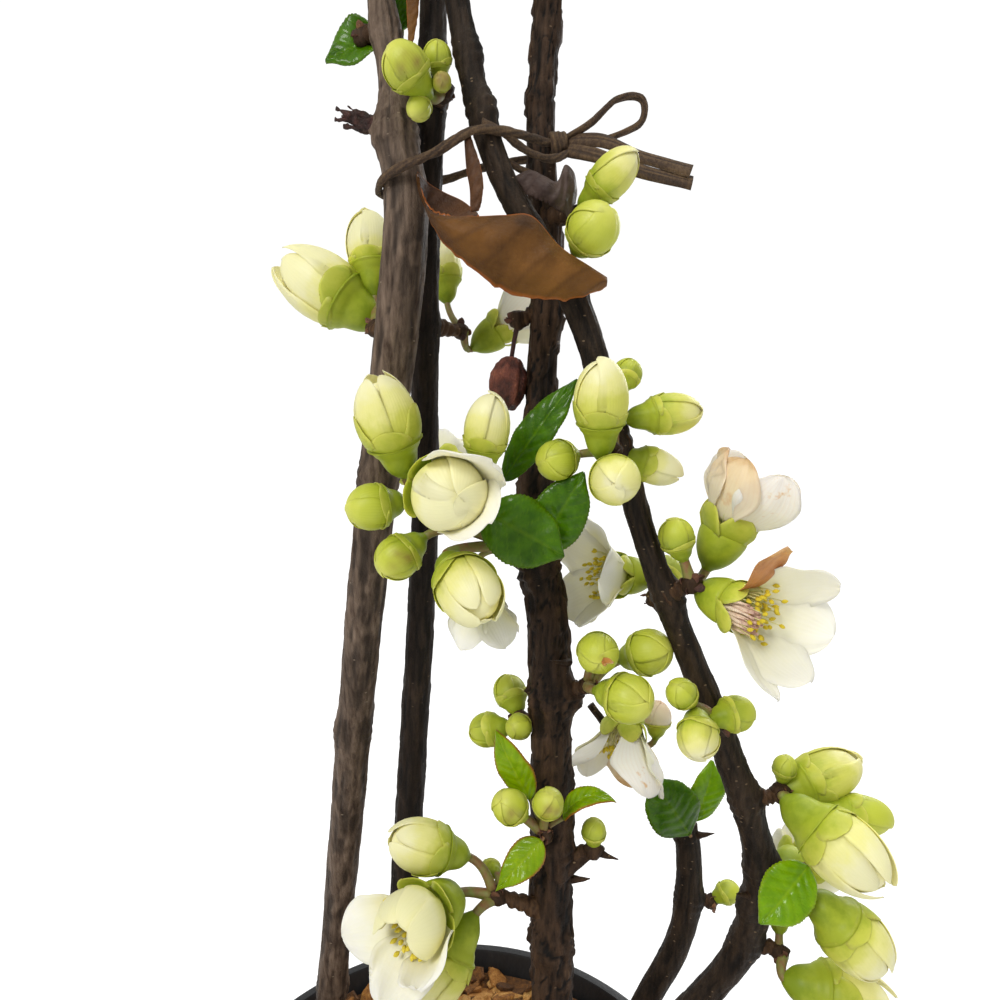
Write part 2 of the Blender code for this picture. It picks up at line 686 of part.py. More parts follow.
def blossom_solids(kind, scale, root, centre, aim):
    """A flower as one closed shape: stalk, cup, lobed rim of petals, and its middle.

    Every ring has a corner for each petal, so the rim's lobes join it sector by sector.
    """
    reach, rise, middle, peak = BLOSSOMS[kind]
    unit = MM * scale
    across, other = side_axes(aim, Vector((0.2, 0.1, 1)))
    heart = centre - aim * (rise * 0.4 * unit)
    stalk = heart + aim * CUP_RINGS[0][0] * unit - root
    bend = aim.rotation_difference(stalk)

    def ring(at, radius):
        turns = (math.tau * petal / PETALS for petal in range(PETALS))
        return [at + (across * math.cos(turn) + other * math.sin(turn)) * radius for turn in turns]

    points = [root + bend @ p for p in ring(Vector(), STALK_RADIUS)]
    for height, radius in CUP_RINGS:
        points += ring(heart + aim * height * unit, radius * unit)
    cup = len(points) - PETALS
    rim = len(points)
    for petal in range(PETALS):
        for turn, share in PETAL_RIM:
            angle = math.tau * (petal + turn) / PETALS
            outward = across * math.cos(angle) + other * math.sin(angle)
            points.append(heart + (outward * reach + aim * rise) * share * unit)
    upper = len(points)
    for height, radius in middle:
        points += ring(heart + aim * height * unit, radius * unit)
    points.append(heart + aim * peak * unit)

    faces = [tuple(range(PETALS))[::-1]]
    lobe, last = len(PETAL_RIM), len(points) - 1
    for k in range(PETALS):
        n = (k + 1) % PETALS
        for low in [*range(0, cup, PETALS), *range(upper, last - PETALS, PETALS)]:
            faces.append((low + k, low + n, low + n + PETALS, low + k + PETALS))
        faces.append((last - PETALS + k, last - PETALS + n, last))
        edge = [rim + k * lobe + j for j in range(lobe)]
        for inner in (cup, upper):
            faces += [(inner + k, a, b) for a, b in zip(edge, edge[1:])]
            faces += [(inner + k, edge[-1], inner + n), (inner + n, edge[-1], rim + n * lobe)]
    return [(points, faces)]


def leaf_solids(scale, root, centre, aim):
    """Leaf and its stalk, folded a little along the midrib and bent back at the tip."""
    half = LEAF_WIDTH * scale / 2
    tip = centre + aim * LEAF_LENGTH * scale * 0.4
    normal = Vector((0, -0.5, 1)) if abs(aim.z) < 0.8 else Vector((0, -1, 0.3))
    stations = [(share, half * width, rise * MM) for share, width, rise in LEAF_OUTLINE]
    way = tip - root
    return [blade(root, way, normal, way.length, stations, LEAF_THICKNESS, curl=LEAF_BEND)]


def thorn_solids(scale, root, centre, aim):
    """Sharp spur end."""
    tip = centre + aim * THORN_LENGTH * scale
    return [tube([root, centre, tip], [1.6 * MM, 1.1 * MM, 0.25 * MM], 4)]


def item_solids(kind, scale, tip, centre, aim):
    """The closed solids of one bud, blossom or leaf, rooted inside its spur's knuckle."""
    root = tip + (centre - tip).normalized() * KNUCKLE_RADIUS * 0.3
    if kind in BLOSSOMS:
        return blossom_solids(kind, scale, root, centre, aim)
    if kind == "leaf":
        return leaf_solids(scale, root, centre, aim)
    if kind == "thorn":
        return thorn_solids(scale, root, centre, aim)
    return bud_solids(kind, scale, root, centre, aim)


def knuckle(tip):
    """Small eight-sided lump at a spur's end, from which its buds and leaves grow."""
    corners = [tip + Vector(way) * KNUCKLE_RADIUS for way in
               ((1, 0, 0), (0, 1, 0), (-1, 0, 0), (0, -1, 0), (0, 0, 1), (0, 0, -1))]
    faces = []
    for k in range(4):
        n = (k + 1) % 4
        faces += [(k, n, 4), (n, k, 5)]
    return corners, faces


def make_cluster(name):
    """A flowering spur on a stem, fused with its buds, blossoms and leaves."""
    stem, height, reach, items = CLUSTERS[name]
    centre, radius, axis = limb_at(stem, height * MM)
    direction = place(reach).normalized()
    start = clear_start(centre, radius, axis, direction, SPUR_RADII[0])
    tip = centre + place(reach)
    if (tip - start).dot(direction) < 2 * MM:
        tip = start + direction * 2 * MM
    solids = [tube([start, tip], SPUR_RADII, SPUR_SIDES), knuckle(tip)]
    for kind, scale, offset, way in items:
        centre = tip + place(offset)
        aim = (Vector(way) if way else centre - tip).normalized()
        solids += item_solids(kind, scale, tip, centre, aim)
    return fuse(name, solids, "blossom")


# Crown ------------------------------------------------------------------------------------------


def limb_lines():
    """Route and radii of every stem and bough, by name."""
    lines = {name: stem_line(name) for name in STEMS}
    lines.update({name: bough_line(name) for name in BOUGHS})
    return lines


def clear_of_limbs(lines, point, reach):
    """Whether a ball of that reach touches none of the limbs."""
    return all(
        (point - centre).length > radius + reach
        for points, radii in lines.values()
        for centre, radius in zip(points, radii)
    )


def twig_points(rng, start, heading, length):
    """A twig that bends upwards and wavers a little from joint to joint."""
    joints = max(2, round(length / TWIG_JOINT))
    way = heading.normalized()
    points = [start, start + way * (length / joints)]
    for _ in range(joints - 1):
        waver = Vector((rng.uniform(-1, 1), rng.uniform(-1, 1), rng.uniform(-1, 1))) * TWIG_WAVER
        way = (way + waver + Vector((0, 0, TWIG_RISE / joints))).normalized()
        points.append(points[-1] + way * (length / joints))
    return points


def spread(way, turn, lean):
    """Unit vector that leans away from way, towards the side given by turn."""
    across, other = side_axes(way)
    return (way + (across * math.cos(turn) + other * math.sin(turn)) * lean).normalized()


def tuft(rng, tip, way, kinds):
    """What a spur bears, as (kind, scale, centre, aim) for each bud, blossom or leaf."""
    turn = rng.uniform(0, math.tau)
    found = []
    for kind in kinds:
        if kind == "blossom":
            kind = rng.choice(("flower", "flower", "swollen"))
        turn += GOLDEN_ANGLE
        aim = spread(way, turn, rng.uniform(*TUFT_SPREAD))
        scale = rng.uniform(0.85, 1.05)
        found.append((kind, scale, tip + aim * (TUFT_REACH[kind] * MM * scale), aim))
    return found


def mass_parts(name, lines):
    """Twigs and tufts of a crown mass by its seeded rule, less what would leave its space.

    Returns twigs as (points, first radius, last radius), and tufts as (tip, items).
    """
    parent, length, seed = MASSES[name]
    rng = random.Random(seed)
    points, radii = lines[parent]
    heading = (points[-1] - points[-2]).normalized()
    start = points[-1] + heading * CLEARANCE
    leader = twig_points(rng, start, heading, length * MM)
    middle = leader[len(leader) // 2]
    twigs = [(leader, radii[-1], TWIG_RADII[1])]
    tufts = [(leader[-1], tuft(rng, leader[-1], leader[-1] - leader[-2], TIP_TUFT))]
    turn = rng.uniform(0, math.tau)
    for k in range(SIDE_TWIGS + 1):
        turn += GOLDEN_ANGLE
        at = 1 + k * (len(leader) - 2) // (SIDE_TWIGS + 1)
        way = (leader[at + 1] - leader[at - 1]).normalized()
        out = spread(way * 0.5, turn, 1.0)
        if k == SIDE_TWIGS:
            side = [leader[at], leader[at] + out * SPUR_LENGTH]
            kinds = SPUR_TUFT
        else:
            side = twig_points(rng, leader[at], out, length * MM * rng.uniform(*SIDE_TWIG_SHARE))
            kinds = TIP_TUFT
        twigs.append((side, TWIG_RADII[0] * 0.85, TWIG_RADII[1]))
        tufts.append((side[-1], tuft(rng, side[-1], side[-1] - side[-2], kinds)))
    space = length * MM * MASS_SPACE
    kept = [
        (tip, [item for item in items if (item[2] - middle).length < space
               and clear_of_limbs(lines, item[2], TUFT_REACH[item[0]] * MM)])
        for tip, items in tufts
    ]
    return twigs, kept


def make_mass(name, lines):
    """A crown mass: branching twigs fused with their tufts of buds, blossoms and leaves."""
    twigs, tufts = mass_parts(name, lines)
    solids = []
    for points, first, last in twigs:
        spans = len(points) - 1
        radii = [first + (last - first) * i / spans for i in range(spans + 1)]
        solids.append(tube(points, radii, TWIG_SIDES))
    for tip, items in tufts:
        solids.append(knuckle(tip))
        for kind, scale, centre, aim in items:
            solids += item_solids(kind, scale, tip, centre, aim)
    return fuse(name, solids, "blossom")


# Tie and dead leaf ------------------------------------------------------------------------------


def make_tie():
    """Fibre tie: a ring round the stems, a knot, one bow loop and two flat tails."""
    ring = [place(p) for p in route(TIE_RING + TIE_RING[:1], TIE_STEP)]
    loop = [place(p) for p in route(TIE_LOOP, TIE_STEP)]
    solids = [tube(loop, [TIE_RADIUS] * len(loop), TIE_SIDES)]
    for tail in TIE_TAILS:
        points = [place(p) for p in route(tail, 2 * TIE_STEP)]
        solids.append(tube(points, [TIE_TAIL_RADIUS] * len(points), TIE_SIDES))
    knot = place(TIE_TAILS[0][0])
    solids.append(tube([knot - Vector((0, 0, 3 * MM)), knot, knot + Vector((0, 0, 3 * MM))],
                       [1.5 * MM, 2.8 * MM, 1.5 * MM], TIE_SIDES))
    half = len(ring) // 2
    for run in (ring[:half + 1], ring[half:]):
        solids.append(tube(run, [TIE_RADIUS] * len(run), TIE_SIDES))
    return fuse("tie", solids, "tie_fibre")


def make_dead_leaf():
    """Curled dead leaf: a thin shell that hangs from its crest line down to a curved edge."""
    crest = [place(p) for p in route(DEAD_LEAF_TOP + (DEAD_LEAF_TIP,), 9 * MM)]
    rows = 3
    columns = len(crest)
    front, back = [], []
    for i, top in enumerate(crest):
        along = i / (columns - 1)
        depth = DEAD_LEAF_DROP * math.sin(math.pi * (0.12 + 0.83 * along)) ** 0.8
        for j in range(rows + 1):
            down = j / rows
            belly = math.sin(math.pi * down * 0.8) * 5 * MM * math.sin(math.pi * min(along + 0.15, 1))
            point = top + Vector((down * 2 * MM, -belly, -depth * down))
            front.append(point)
            back.append(point + Vector((0, DEAD_LEAF_THICKNESS, 0)))
    points, faces = front + back, []
    width, other = rows + 1, len(front)
    for i in range(columns - 1):
        for j in range(rows):
            a = i * width + j
            faces.append((a, a + 1, a + width + 1, a + width))
            faces.append((a + other, a + width + other, a + width + 1 + other, a + 1 + other))
    border = [i * width for i in range(columns)]
    border += [(columns - 1) * width + j for j in range(1, width)]
    border += [i * width + rows for i in range(columns - 2, -1, -1)]
    border += list(range(rows - 1, 0, -1))
    for a, b in zip(border, border[1:] + border[:1]):
        faces.append((a, b, b + other, a + other))
    return new_object("dead_leaf", points, faces, "dead_leaf")


def main():
    clear_scene()
    make_pot()
    make_soil()
    make_limbs()
    for name in CLUSTERS:
        make_cluster(name)
    lines = limb_lines()
    for name in MASSES:
        make_mass(name, lines)
    make_tie()
    make_dead_leaf()


main()
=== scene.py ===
"""Looks of a potted flowering quince: pot, mulch, bark, buds, blossom, leaves, tie and dead leaf.

Everything stands in the frame of the solids, in metres. Shapes are worked out as numpy arrays.
A bud, flower or leaf is shaped in millimetres about its own axis, +Z, and then set on its spur.
"""

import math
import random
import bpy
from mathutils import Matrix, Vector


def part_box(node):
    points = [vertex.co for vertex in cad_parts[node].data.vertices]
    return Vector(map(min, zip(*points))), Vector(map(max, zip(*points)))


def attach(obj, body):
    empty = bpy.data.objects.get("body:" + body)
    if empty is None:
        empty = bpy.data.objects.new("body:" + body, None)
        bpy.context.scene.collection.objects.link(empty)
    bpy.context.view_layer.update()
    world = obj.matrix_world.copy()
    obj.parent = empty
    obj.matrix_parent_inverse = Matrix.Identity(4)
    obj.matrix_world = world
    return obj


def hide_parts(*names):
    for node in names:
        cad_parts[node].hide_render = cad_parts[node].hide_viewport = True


bl_info = {
    "name": "Potted flowering quince",
    "version": (1, 0, 0),
    "blender": (4, 5, 0),
    "location": "3D View > Sidebar > Quince",
    "description": "Bark, buds, blossom and leaves of a flowering quince in a nursery pot",
    "category": "Add Mesh",
}

import bpy
import numpy as np
from mathutils import Matrix, Vector

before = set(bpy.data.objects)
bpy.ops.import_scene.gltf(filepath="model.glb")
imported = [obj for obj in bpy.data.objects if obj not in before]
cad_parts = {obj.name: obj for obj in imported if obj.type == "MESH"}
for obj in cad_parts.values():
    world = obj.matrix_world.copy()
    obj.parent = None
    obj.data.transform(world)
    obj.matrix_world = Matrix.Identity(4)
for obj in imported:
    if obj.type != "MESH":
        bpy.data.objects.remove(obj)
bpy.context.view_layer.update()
MM = 0.001

# Pot and mulch, in metres
POT_FOOT = 57 * MM
POT_MOUTH = 76 * MM
POT_RIM = 80 * MM
POT_RIM_DEPTH = 13 * MM
POT_WALL = 2 * MM
DRAIN_HOLES = 8
DRAIN_RADIUS = 5 * MM
DRAIN_RING = 42 * MM
CHIP_CLEARANCE = 5.5 * MM
POT_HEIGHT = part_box("pot")[1].z
SOIL_LEVEL = POT_HEIGHT - 8 * MM
STEM_FOOT = SOIL_LEVEL + 0.3 * MM
ROOT_FLARE = 1.45
ROOT_FLARE_HEIGHT = 14 * MM

# Stems: places in millimetres from the foot up, with the radius there
STEMS = {
    "stem_left": (
        (-46, 38, 142, 4.7), (-36, 28, 217, 4.8), (-21, 6, 322, 5.1), (-9, -5, 400, 5.4),
        (-10, -4, 425, 4.8), (-14, 1, 458, 3.3), (-30, -6, 540, 2.9), (-44, -12, 625, 2.0),
    ),
    "stem_rear": (
        (-20, 26, 142, 4.6), (-17, 26, 200, 4.3), (-8, 21, 320, 3.9), (-6, 12, 390, 3.7),
        (-3, 4, 433, 3.5), (-2, 3, 460, 3.3), (-2, 14, 530, 2.9), (6, 32, 640, 2.0),
    ),
    "stem_middle": (
        (29, -6, 142, 6.2), (28, -4, 230, 5.8), (27, 0, 302, 5.5), (23, 2, 336, 4.6),
        (26, 5, 395, 3.8), (24, 7, 434, 3.7), (26, 10, 470, 3.5), (27, 5, 560, 2.9),
        (22, -4, 680, 1.9),
    ),
    "stem_right": (
        (46, 8, 142, 4.4), (56, 8, 168, 4.3), (72, 6, 190, 4.2), (82, 2, 210, 4.2),
        (84, -5, 240, 4.2), (72, -10, 276, 3.6), (50, -13, 329, 3.2), (33, -11, 384, 3.1),
        (14, -10, 417, 3.0), (4, -7, 456, 2.8), (-3, -18, 510, 2.6), (4, -42, 600, 1.9),
    ),
    "stem_rear_right": (
        (52, 33, 142, 4.4), (64, 36, 165, 4.3), (75, 37, 190, 4.2), (76, 39, 220, 3.9),
        (68, 41, 236, 2.1), (60, 42, 244, 1.9), (44, 46, 264, 1.3),
    ),
}

# Bark of each stem: finish, depth of lengthwise ridges, depth of flakes (millimetres), and its
# swollen joints as (height, turn round the stem in degrees, how far it stands out)
BARK = {
    "stem_left": ("bark_grey", 0.22, 0.10, ((170, 30, 0.8), (268, 200, 0.7), (345, 250, 1.1),
                                            (427, 185, 1.6), (452, 190, 0.9))),
    "stem_rear": ("bark_black", 0.16, 0.14, ((384, 40, 0.8), (436, 300, 1.2), (446, 260, 1.1))),
    "stem_middle": ("bark_dark", 0.34, 0.58, ((218, 250, 1.2), (246, 300, 1.4), (287, 340, 2.4),
                                              (262, 200, 1.0), (322, 250, 2.6), (345, 20, 1.2),
                                              (387, 330, 1.0), (410, 300, 0.9))),
    "stem_right": ("bark_brown", 0.16, 0.16, ((214, 350, 1.2), (240, 350, 1.4), (228, 200, 1.5),
                                              (262, 0, 1.2), (285, 270, 1.0), (317, 330, 1.3),
                                              (354, 250, 1.2), (392, 20, 1.6), (430, 300, 1.8),
                                              (443, 320, 1.1))),
    "stem_rear_right": ("bark_brown", 0.15, 0.12, ((200, 0, 1.2), (226, 200, 1.8))),
}
BARK_SIDES = 56
BARK_STEP = 0.9
BARK_FAR_STEP = 2.4
VIEW_TOP = 470 * MM

# Side boughs of the crown: the stem and height it leaves from, its tip in millimetres
BOUGH_RADII = (2.3 * MM, 1.5 * MM)
BOUGH_SAG = 0.16
BOUGHS = {
    "bough_front_left": ("stem_left", 505, (-66, -30, 556)),
    "bough_back_left": ("stem_left", 556, (-74, 28, 606)),
    "bough_back": ("stem_rear", 512, (-22, 66, 566)),
    "bough_back_right": ("stem_rear", 584, (52, 72, 628)),
    "bough_right": ("stem_middle", 492, (74, 18, 542)),
    "bough_front_right": ("stem_middle", 572, (66, -30, 622)),
    "bough_front": ("stem_right", 528, (26, -70, 566)),
}

# Crown masses: the limb each one grows on from, the length of its leader and its seed
MASSES = {
    "mass_left_top": ("stem_left", 92, 11),
    "mass_rear_top": ("stem_rear", 84, 12),
    "mass_middle_top": ("stem_middle", 80, 13),
    "mass_right_top": ("stem_right", 88, 14),
    "mass_front_left": ("bough_front_left", 98, 15),
    "mass_back_left": ("bough_back_left", 94, 16),
    "mass_back": ("bough_back", 96, 17),
    "mass_back_right": ("bough_back_right", 90, 18),
    "mass_right": ("bough_right", 98, 19),
    "mass_front_right": ("bough_front_right", 92, 20),
    "mass_front": ("bough_front", 90, 21),
}
MASS_SPACE = 0.80
TWIG_RADII = (1.5 * MM, 0.7 * MM)
TWIG_JOINT = 22 * MM
TWIG_WAVER = 0.16
TWIG_RISE = 0.35
SIDE_TWIGS = 2
SIDE_TWIG_SHARE = (0.42, 0.58)
SPUR_LENGTH = 5 * MM
TIP_TUFT = ("blossom", "bud", "leaf")
SPUR_TUFT = ("bud", "leaf")
TUFT_REACH = {"flower": 13, "half": 12, "bud": 11, "tight": 9, "swollen": 14, "leaf": 13}
TUFT_SPREAD = (0.55, 1.0)
GOLDEN_ANGLE = math.radians(137.5)
TWIGLET_LENGTH = (9 * MM, 20 * MM)
TWIGLET_RADII = (0.7 * MM, 0.45 * MM)
TWIGLET_TUFTS = (("leaf", "tight"), ("leaf", "bud"), ("leaf", "leaf", "tight"), ("tight", "bud"))

# Flowering spurs on the stems: stem, height, spur tip from the stem's axis, then its items as
# (kind, scale, place from the spur tip, way it points or None where it points straight out), with
# how an item is held where that is not left to its seed. "shift" moves it in millimetres, "aim" is
# the way it faces, "open" says how far each petal is open and "late" how long its foot stays shut,
# "angles" places the petals, "turn" turns the first petal from upwards, "finishes" gives each petal
# its finish, and "start", "end" and "face" place a leaf from the spur.
SPUR_RADII = (2.3 * MM, 1.5 * MM)
KNUCKLE_RADIUS = 2.6 * MM
CLUSTERS = {
    "cluster_middle_front": ("stem_middle", 322, (-8, -15, 8), (
        ("opening", 1.05, (-27, -8, 28), (-3, -2, 8), {"aim": (-2, -2.5, 8),
         "open": (0.16, 0.05, 0.2, 0.04, 0.12), "turn": 40, "ripe": 0.62, "size": 1.0, "sepal": 1.5}),
        ("swollen", 0.9, (-6, -10, 26), (0, -1, 8), {"aim": (1, -1.2, 8), "shift": (0.6, 0, 0.4),
         "open": (0, 0.01, 0, 0.03, 0), "turn": 20, "sepal": 0.8}),
        ("half", 1.0, (-14, -19, 16), (-3, -8, -3), {"aim": (4.1, -9, -1.3), "shift": (-0.9, 1.2, -0.4),
         "turn": 0, "ball": 7.6, "reach": 24, "width": 21, "open": (0.56, 0.03, 0.62, 0.03, 0.1),
         "sepal": 1.25, "angles": (232, 285, 338, 86, 160), "late": (0.75, 0, 0.6, 0, 0)}),
        ("bud", 1.05, (-31, -6, 10), (-9, -3, 1), {"aim": (-8, -4, -1), "ripe": 0.35}),
        ("bud", 1.0, (-25, -8, -1), (-7, -4, -5), {"aim": (-7, -5, -5), "ripe": 0.2, "spots": 1}),
        ("opening", 0.95, (-10, -16, -6), (-1, -8, -5), {"aim": (4, -8, -3), "size": 1.1, "ripe": 0.72,
         "open": (0.03, 0.06, 0.02, 0.08, 0.03), "turn": 30, "sepal": 0.9, "sepal_open": 0.16}),
        ("flower", 0.62, (-6, 3, -22), (1, -2, -8), {"size": 1.12, "open": (0.56, 0.5, 0.6, 0.5, 0.54),
         "turn": 180, "reach": 20, "width": 20, "aim": (0.8, 1, -8), "shift": (-0.8, 0, 7.5)}),
        ("leaf", 1.4, (7, 0, 29), (5, 0, 7), {"start": (-1.5, 1.8, 15.2), "end": (15.4, -1.2, 39.4),
         "width": 9.5, "bend": 0.25, "face": (-0.5, -1, 0.25), "fold": 0.15}),
        ("leaf", 1.25, (4, -10, 7), (8, -4, -3), {"start": (-6.2, -10.2, 9.4), "end": (12.4, -13.4, -0.2),
         "width": 15.8, "bend": 0.45, "face": (-0.15, -1, 0.5), "fold": 0.2}),
        ("leaf", 1.05, (14, -2, 10), (5, -3, 2), {"start": (6.4, -3.2, -1.0), "end": (17.0, -7.4, 18.0),
         "width": 13.0, "bend": 0.5, "face": (0.2, -1, 0.35), "fold": 0.22}),
    )),
    "cluster_right_upper": ("stem_right", 354, (-3, -7, -1), (
        ("swollen", 1.03, (-1, -7, 10), (0, -3, 8), {"aim": (-0.4, -2, 8), "shift": (-2.3, 0, -0.4),
         "open": (0, 0, 0, 0.02, 0), "turn": 0, "ripe": 0.7}),
        ("tight", 0.9, (8, 1, 17), (3, 3, 6), {"shift": (-4.6, 0.5, 0)}),
        ("swollen", 0.95, (16, 5, 9), (9, 1, 1), {"shift": (-3.0, 0, -0.8), "ripe": 0.55, "size": 0.9}),
        ("bud", 0.9, (-9, 1, -2), None, {"aim": (-6, -6, -1), "shift": (-2.6, 0, 0), "ripe": 0.0}),
        ("bud", 1.05, (2, -9, -5), (1, -9, -3), {"aim": (0.2, -9, -0.6), "shift": (-2.4, 0, -0.5),
         "ripe": 0.6, "turn": 70}),
        ("opening", 0.78, (15, 5, -5), (7, 3, -2), {"aim": (8, 1, -2.5), "shift": (-4.8, 0.5, 1.4),
         "open": (0.16, 0.06, 0.06, 0.1, 0.1), "turn": 200, "size": 0.84, "sepal": 0.8}),
    )),
    "cluster_right_flower": ("stem_right", 317, (5, -5, 4), (
        ("tight", 1.1, (-4, -1, 11), None),
        ("half", 1.1, (12, 7, 15), (5, 1, 6), {"aim": (3.2, -1.0, 7.5),
         "open": (0.36, 0.44, 0.37, 0.26, 0.3), "turn": 0, "angles": (118, 228, 300, 10, 62), "reach": 17,
         "width": 16, "ball": None, "finishes": (5, 5, 5, 3, 3), "sepal": 1.25, "shift": (0, 0, 0.8),
         "spots": 1}),
        ("flower", 1.0, (16, -7, -6), (5, -8, -1), {"aim": (6.2, -7.4, -1.4), "shift": (-5.5, 0.8, 1.8),
         "reach": 22, "width": 19, "open": (0.82, 0.66, 0.6, 0.66, 0.6), "turn": 0,
         "finishes": (4, 2, 2, 2, 2), "angles": (8, 158, 205, 255, 312), "withered": True, "sepal": 1.2}),
    )),
    "cluster_middle_right": ("stem_middle", 287, (9, -5, 4), (
        ("bud", 0.95, (1, -12, 13), (0, -7, 5), {"aim": (-0.5, -9, 1), "dried": True, "ripe": 0.1}),
        ("bud", 1.1, (14, -4, 10), None, {"aim": (7, -5, 4), "ripe": 0.3}),
        ("bud", 1.12, (7, -15, 3), None, {"aim": (7, -6, 0.5), "ripe": 0.45}),
    )),
    "cluster_middle_left": ("stem_middle", 279, (-8, 4, -1), (
        ("tight", 1.2, (-3, 5, 6), None, {"shift": (0.5, 0, -1)}),
        ("tight", 1.25, (-9, 3, -3), None, {"shift": (0.5, 0, -1.4)}),
        ("tight", 0.9, (-2, -6, 2), None, {"shift": (1.4, 0, -1.4)}),
    )),
    "cluster_right_middle": ("stem_right", 285, (0, -7, 2), (
        ("tight", 0.95, (-8, -5, 8), None, {"shift": (-3.2, 0, 0.8)}),
        ("bud", 0.95, (-6, -8, -3), (-1, -7, -5), {"shift": (-2.2, 0, 3.4), "ripe": 0.6}),
        ("bud", 0.95, (9, -1, -2), (8, 2, 1), {"shift": (-7.0, 0, 4.2), "size": 0.9, "ripe": 0.0}),
    )),
    "cluster_middle_low": ("stem_middle", 246, (-3, -8, 8), (
        ("tight", 1.15, (-8, -6, 10), None, {"ripe": 0.3, "spots": 1}),
        ("tight", 1.0, (1, -8, 12), None, {"ripe": 0.2, "spots": 1}),
        ("leaf", 0.95, (-8, -3, 21), (-4, -1, 7), {"start": (-3.2, -1.7, 9.8), "end": (-12.0, -3.7, 28.8),
         "width": 9.5, "bend": 0.3, "young": True, "taper": 0.25, "face": (-0.2, -1, 0.1), "fold": 0.1}),
        ("leaf", 0.72, (12, -3, 10), (8, 0, 2), {"start": (5.5, 0.3, 3.4), "end": (20.0, -2.5, 13.0),
         "width": 8.5, "bend": 2.1, "taper": 0.4, "face": (0.1, -0.32, 1), "fold": 0.4}),
        ("leaf", 0.9, (-7, -5, -5), (-6, -2, -6), {"start": (-0.3, -2.7, -0.8), "end": (-12.1, -6.7, -12.3),
         "width": 11.5, "bend": 0.3, "taper": 0.6, "face": (-0.3, -1, 0.3), "fold": 0.14}),
    )),
    "cluster_middle_stub": ("stem_middle", 240, (11, -3, 5), (
        ("tight", 0.85, (0, 0, 5), (0, 0, 8)),
        ("thorn", 0.6, (4, 0, -3), (6, 0, -1)),
    )),
    "cluster_middle_foot": ("stem_middle", 226, (-15, -6, 9), (
        ("opening", 1.05, (-17, -4, 16), (-8, -1, 4), {"aim": (-8, -3, 4), "ripe": 0.7,
         "open": (0.02, 0.06, 0, 0.04, 0.02), "size": 0.95}),
        ("half", 1.35, (-19, -18, 6), (-6, -6, -3), {"aim": (-4.2, -8, 2.2), "ball": 7.2, "reach": 16,
         "width": 16, "turn": 0, "gap": True, "open": (0.84, 0.52, 0.62, 0.06, 0.1), "sepal": 1.0,
         "shift": (1.0, 0, 0.6), "late": (0.32, 0.7, 0.32, 0, 0), "angles": (112, 226, 172, 300, 40),
         "size": 0.9}),
        ("swollen", 1.25, (-13, -10, -12), (-5, -3, -7), {"ripe": 0.8}),
        ("tight", 0.7, (-4, 8, -2), None, {"shift": (2.6, 0, 4)}),
    )),
    "cluster_right_shoulder": ("stem_right", 260, (9, 0, 3), (
        ("tight", 0.8, (1, 1, 6), (1, 0, 7)),
        ("swollen", 1.15, (13, 4, 1), (8, 1, 3), {"ripe": 0.55, "shift": (-2, 0, 1),
         "open": (0.0, 0.03, 0, 0.04, 0.02), "size": 1.0}),
        ("swollen", 0.92, (23, -1, -6), (8, 0, -1), {"ripe": 0.4, "shift": (-4, 0, 0.5)}),
        ("opening", 1.25, (9, -14, -5), (6, -6, -4), {"shift": (-1, 0, 0), "ripe": 0.85,
         "open": (0.0, 0.05, 0.02, 0.05, 0.03), "turn": 60, "sepal": 1.0}),
    )),
    "cluster_right_elbow": ("stem_right", 240, (8, -3, 0), (
        ("leaf", 1.0, (-7, -15, -3), (-3, -4, -6), {"start": (1.0, -5.9, 5.7), "end": (-13.0, -13.0, -5.4),
         "width": 13.5, "bend": 0.4, "face": (-0.35, -1, 0.25), "fold": 0.22, "bright": True}),
        ("opening", 1.2, (14, -6, -13), (6, -1, -6), {"ripe": 0.75, "open": (0.02, 0.06, 0, 0.05, 0.03),
         "shift": (-1.5, 0, 0)}),
        ("half", 1.0, (10, 19, -10), (6, 5, -2)),
    )),
    "cluster_right_foot": ("stem_right", 214, (9, -2, -3), (
        ("opening", 1.25, (16, -8, -6), (9, -1, -2), {"ripe": 0.75, "shift": (-3, 0, 0)}),
        ("tight", 1.0, (2, 6, 7), None),
    )),
    "cluster_rear_right_top": ("stem_rear_right", 230, (-4, -9, 6), (
        ("leaf", 1.05, (1, -2, 4), (-1, -4, 6), {"start": (6.4, -1.2, -9.0), "end": (-7.0, -7.2, 12.6),
         "width": 17, "bend": 0.2, "face": (0.2, -1, 0.1), "fold": 0.1, "deep": True}),
        ("leaf", 0.8, (14, 3, -3), (8, 2, -3), {"start": (9.0, 2.8, -7.0), "end": (15.4, 4.8, 12.3),
         "width": 13, "bend": 0.4, "face": (0.3, -1, 0.1), "fold": 0.2, "bright": True}),
    )),
    "cluster_rear_right_side": ("stem_rear_right", 200, (8, 1, -2), (
        ("tight", 1.0, (5, 0, 3), (6, 0, 3)),
    )),
    "cluster_rear_right_flower": ("stem_rear_right", 250, (0, -5, 2), (
        ("flower", 1.05, (-4, -11, 9), (-3, -7, 4), {"aim": (-1.5, -2.5, -8), "shift": (1, 0, 1.5),
         "reach": 21, "width": 21, "turn": 0, "open": (0.7, 0.56, 0.56, 0.66, 0.5),
         "finishes": (5, 2, 2, 5, 3), "sepal": 1.1, "angles": (62, 118, 250, 305, 180)}),
        ("bud", 0.9, (10, 2, 3), None, {"finish": 3, "ripe": 1.0, "shift": (0, 0, 6.5),
         "aim": (0.1, 0.2, 1)}),
    )),
    "cluster_right_back": ("stem_right", 316, (0, 14, -4), (
        ("flower", 0.95, (-10, 6, 5), (-8, -3, 1), {"reach": 20, "width": 19,
         "open": (0.66, 0.7, 0.62, 0.72, 0.66)}),
        ("bud", 1.0, (4, 8, 4), None, {"ripe": 0.2}),
    )),
    "cluster_left_back": ("stem_left", 382, (-8, 16, 1), (
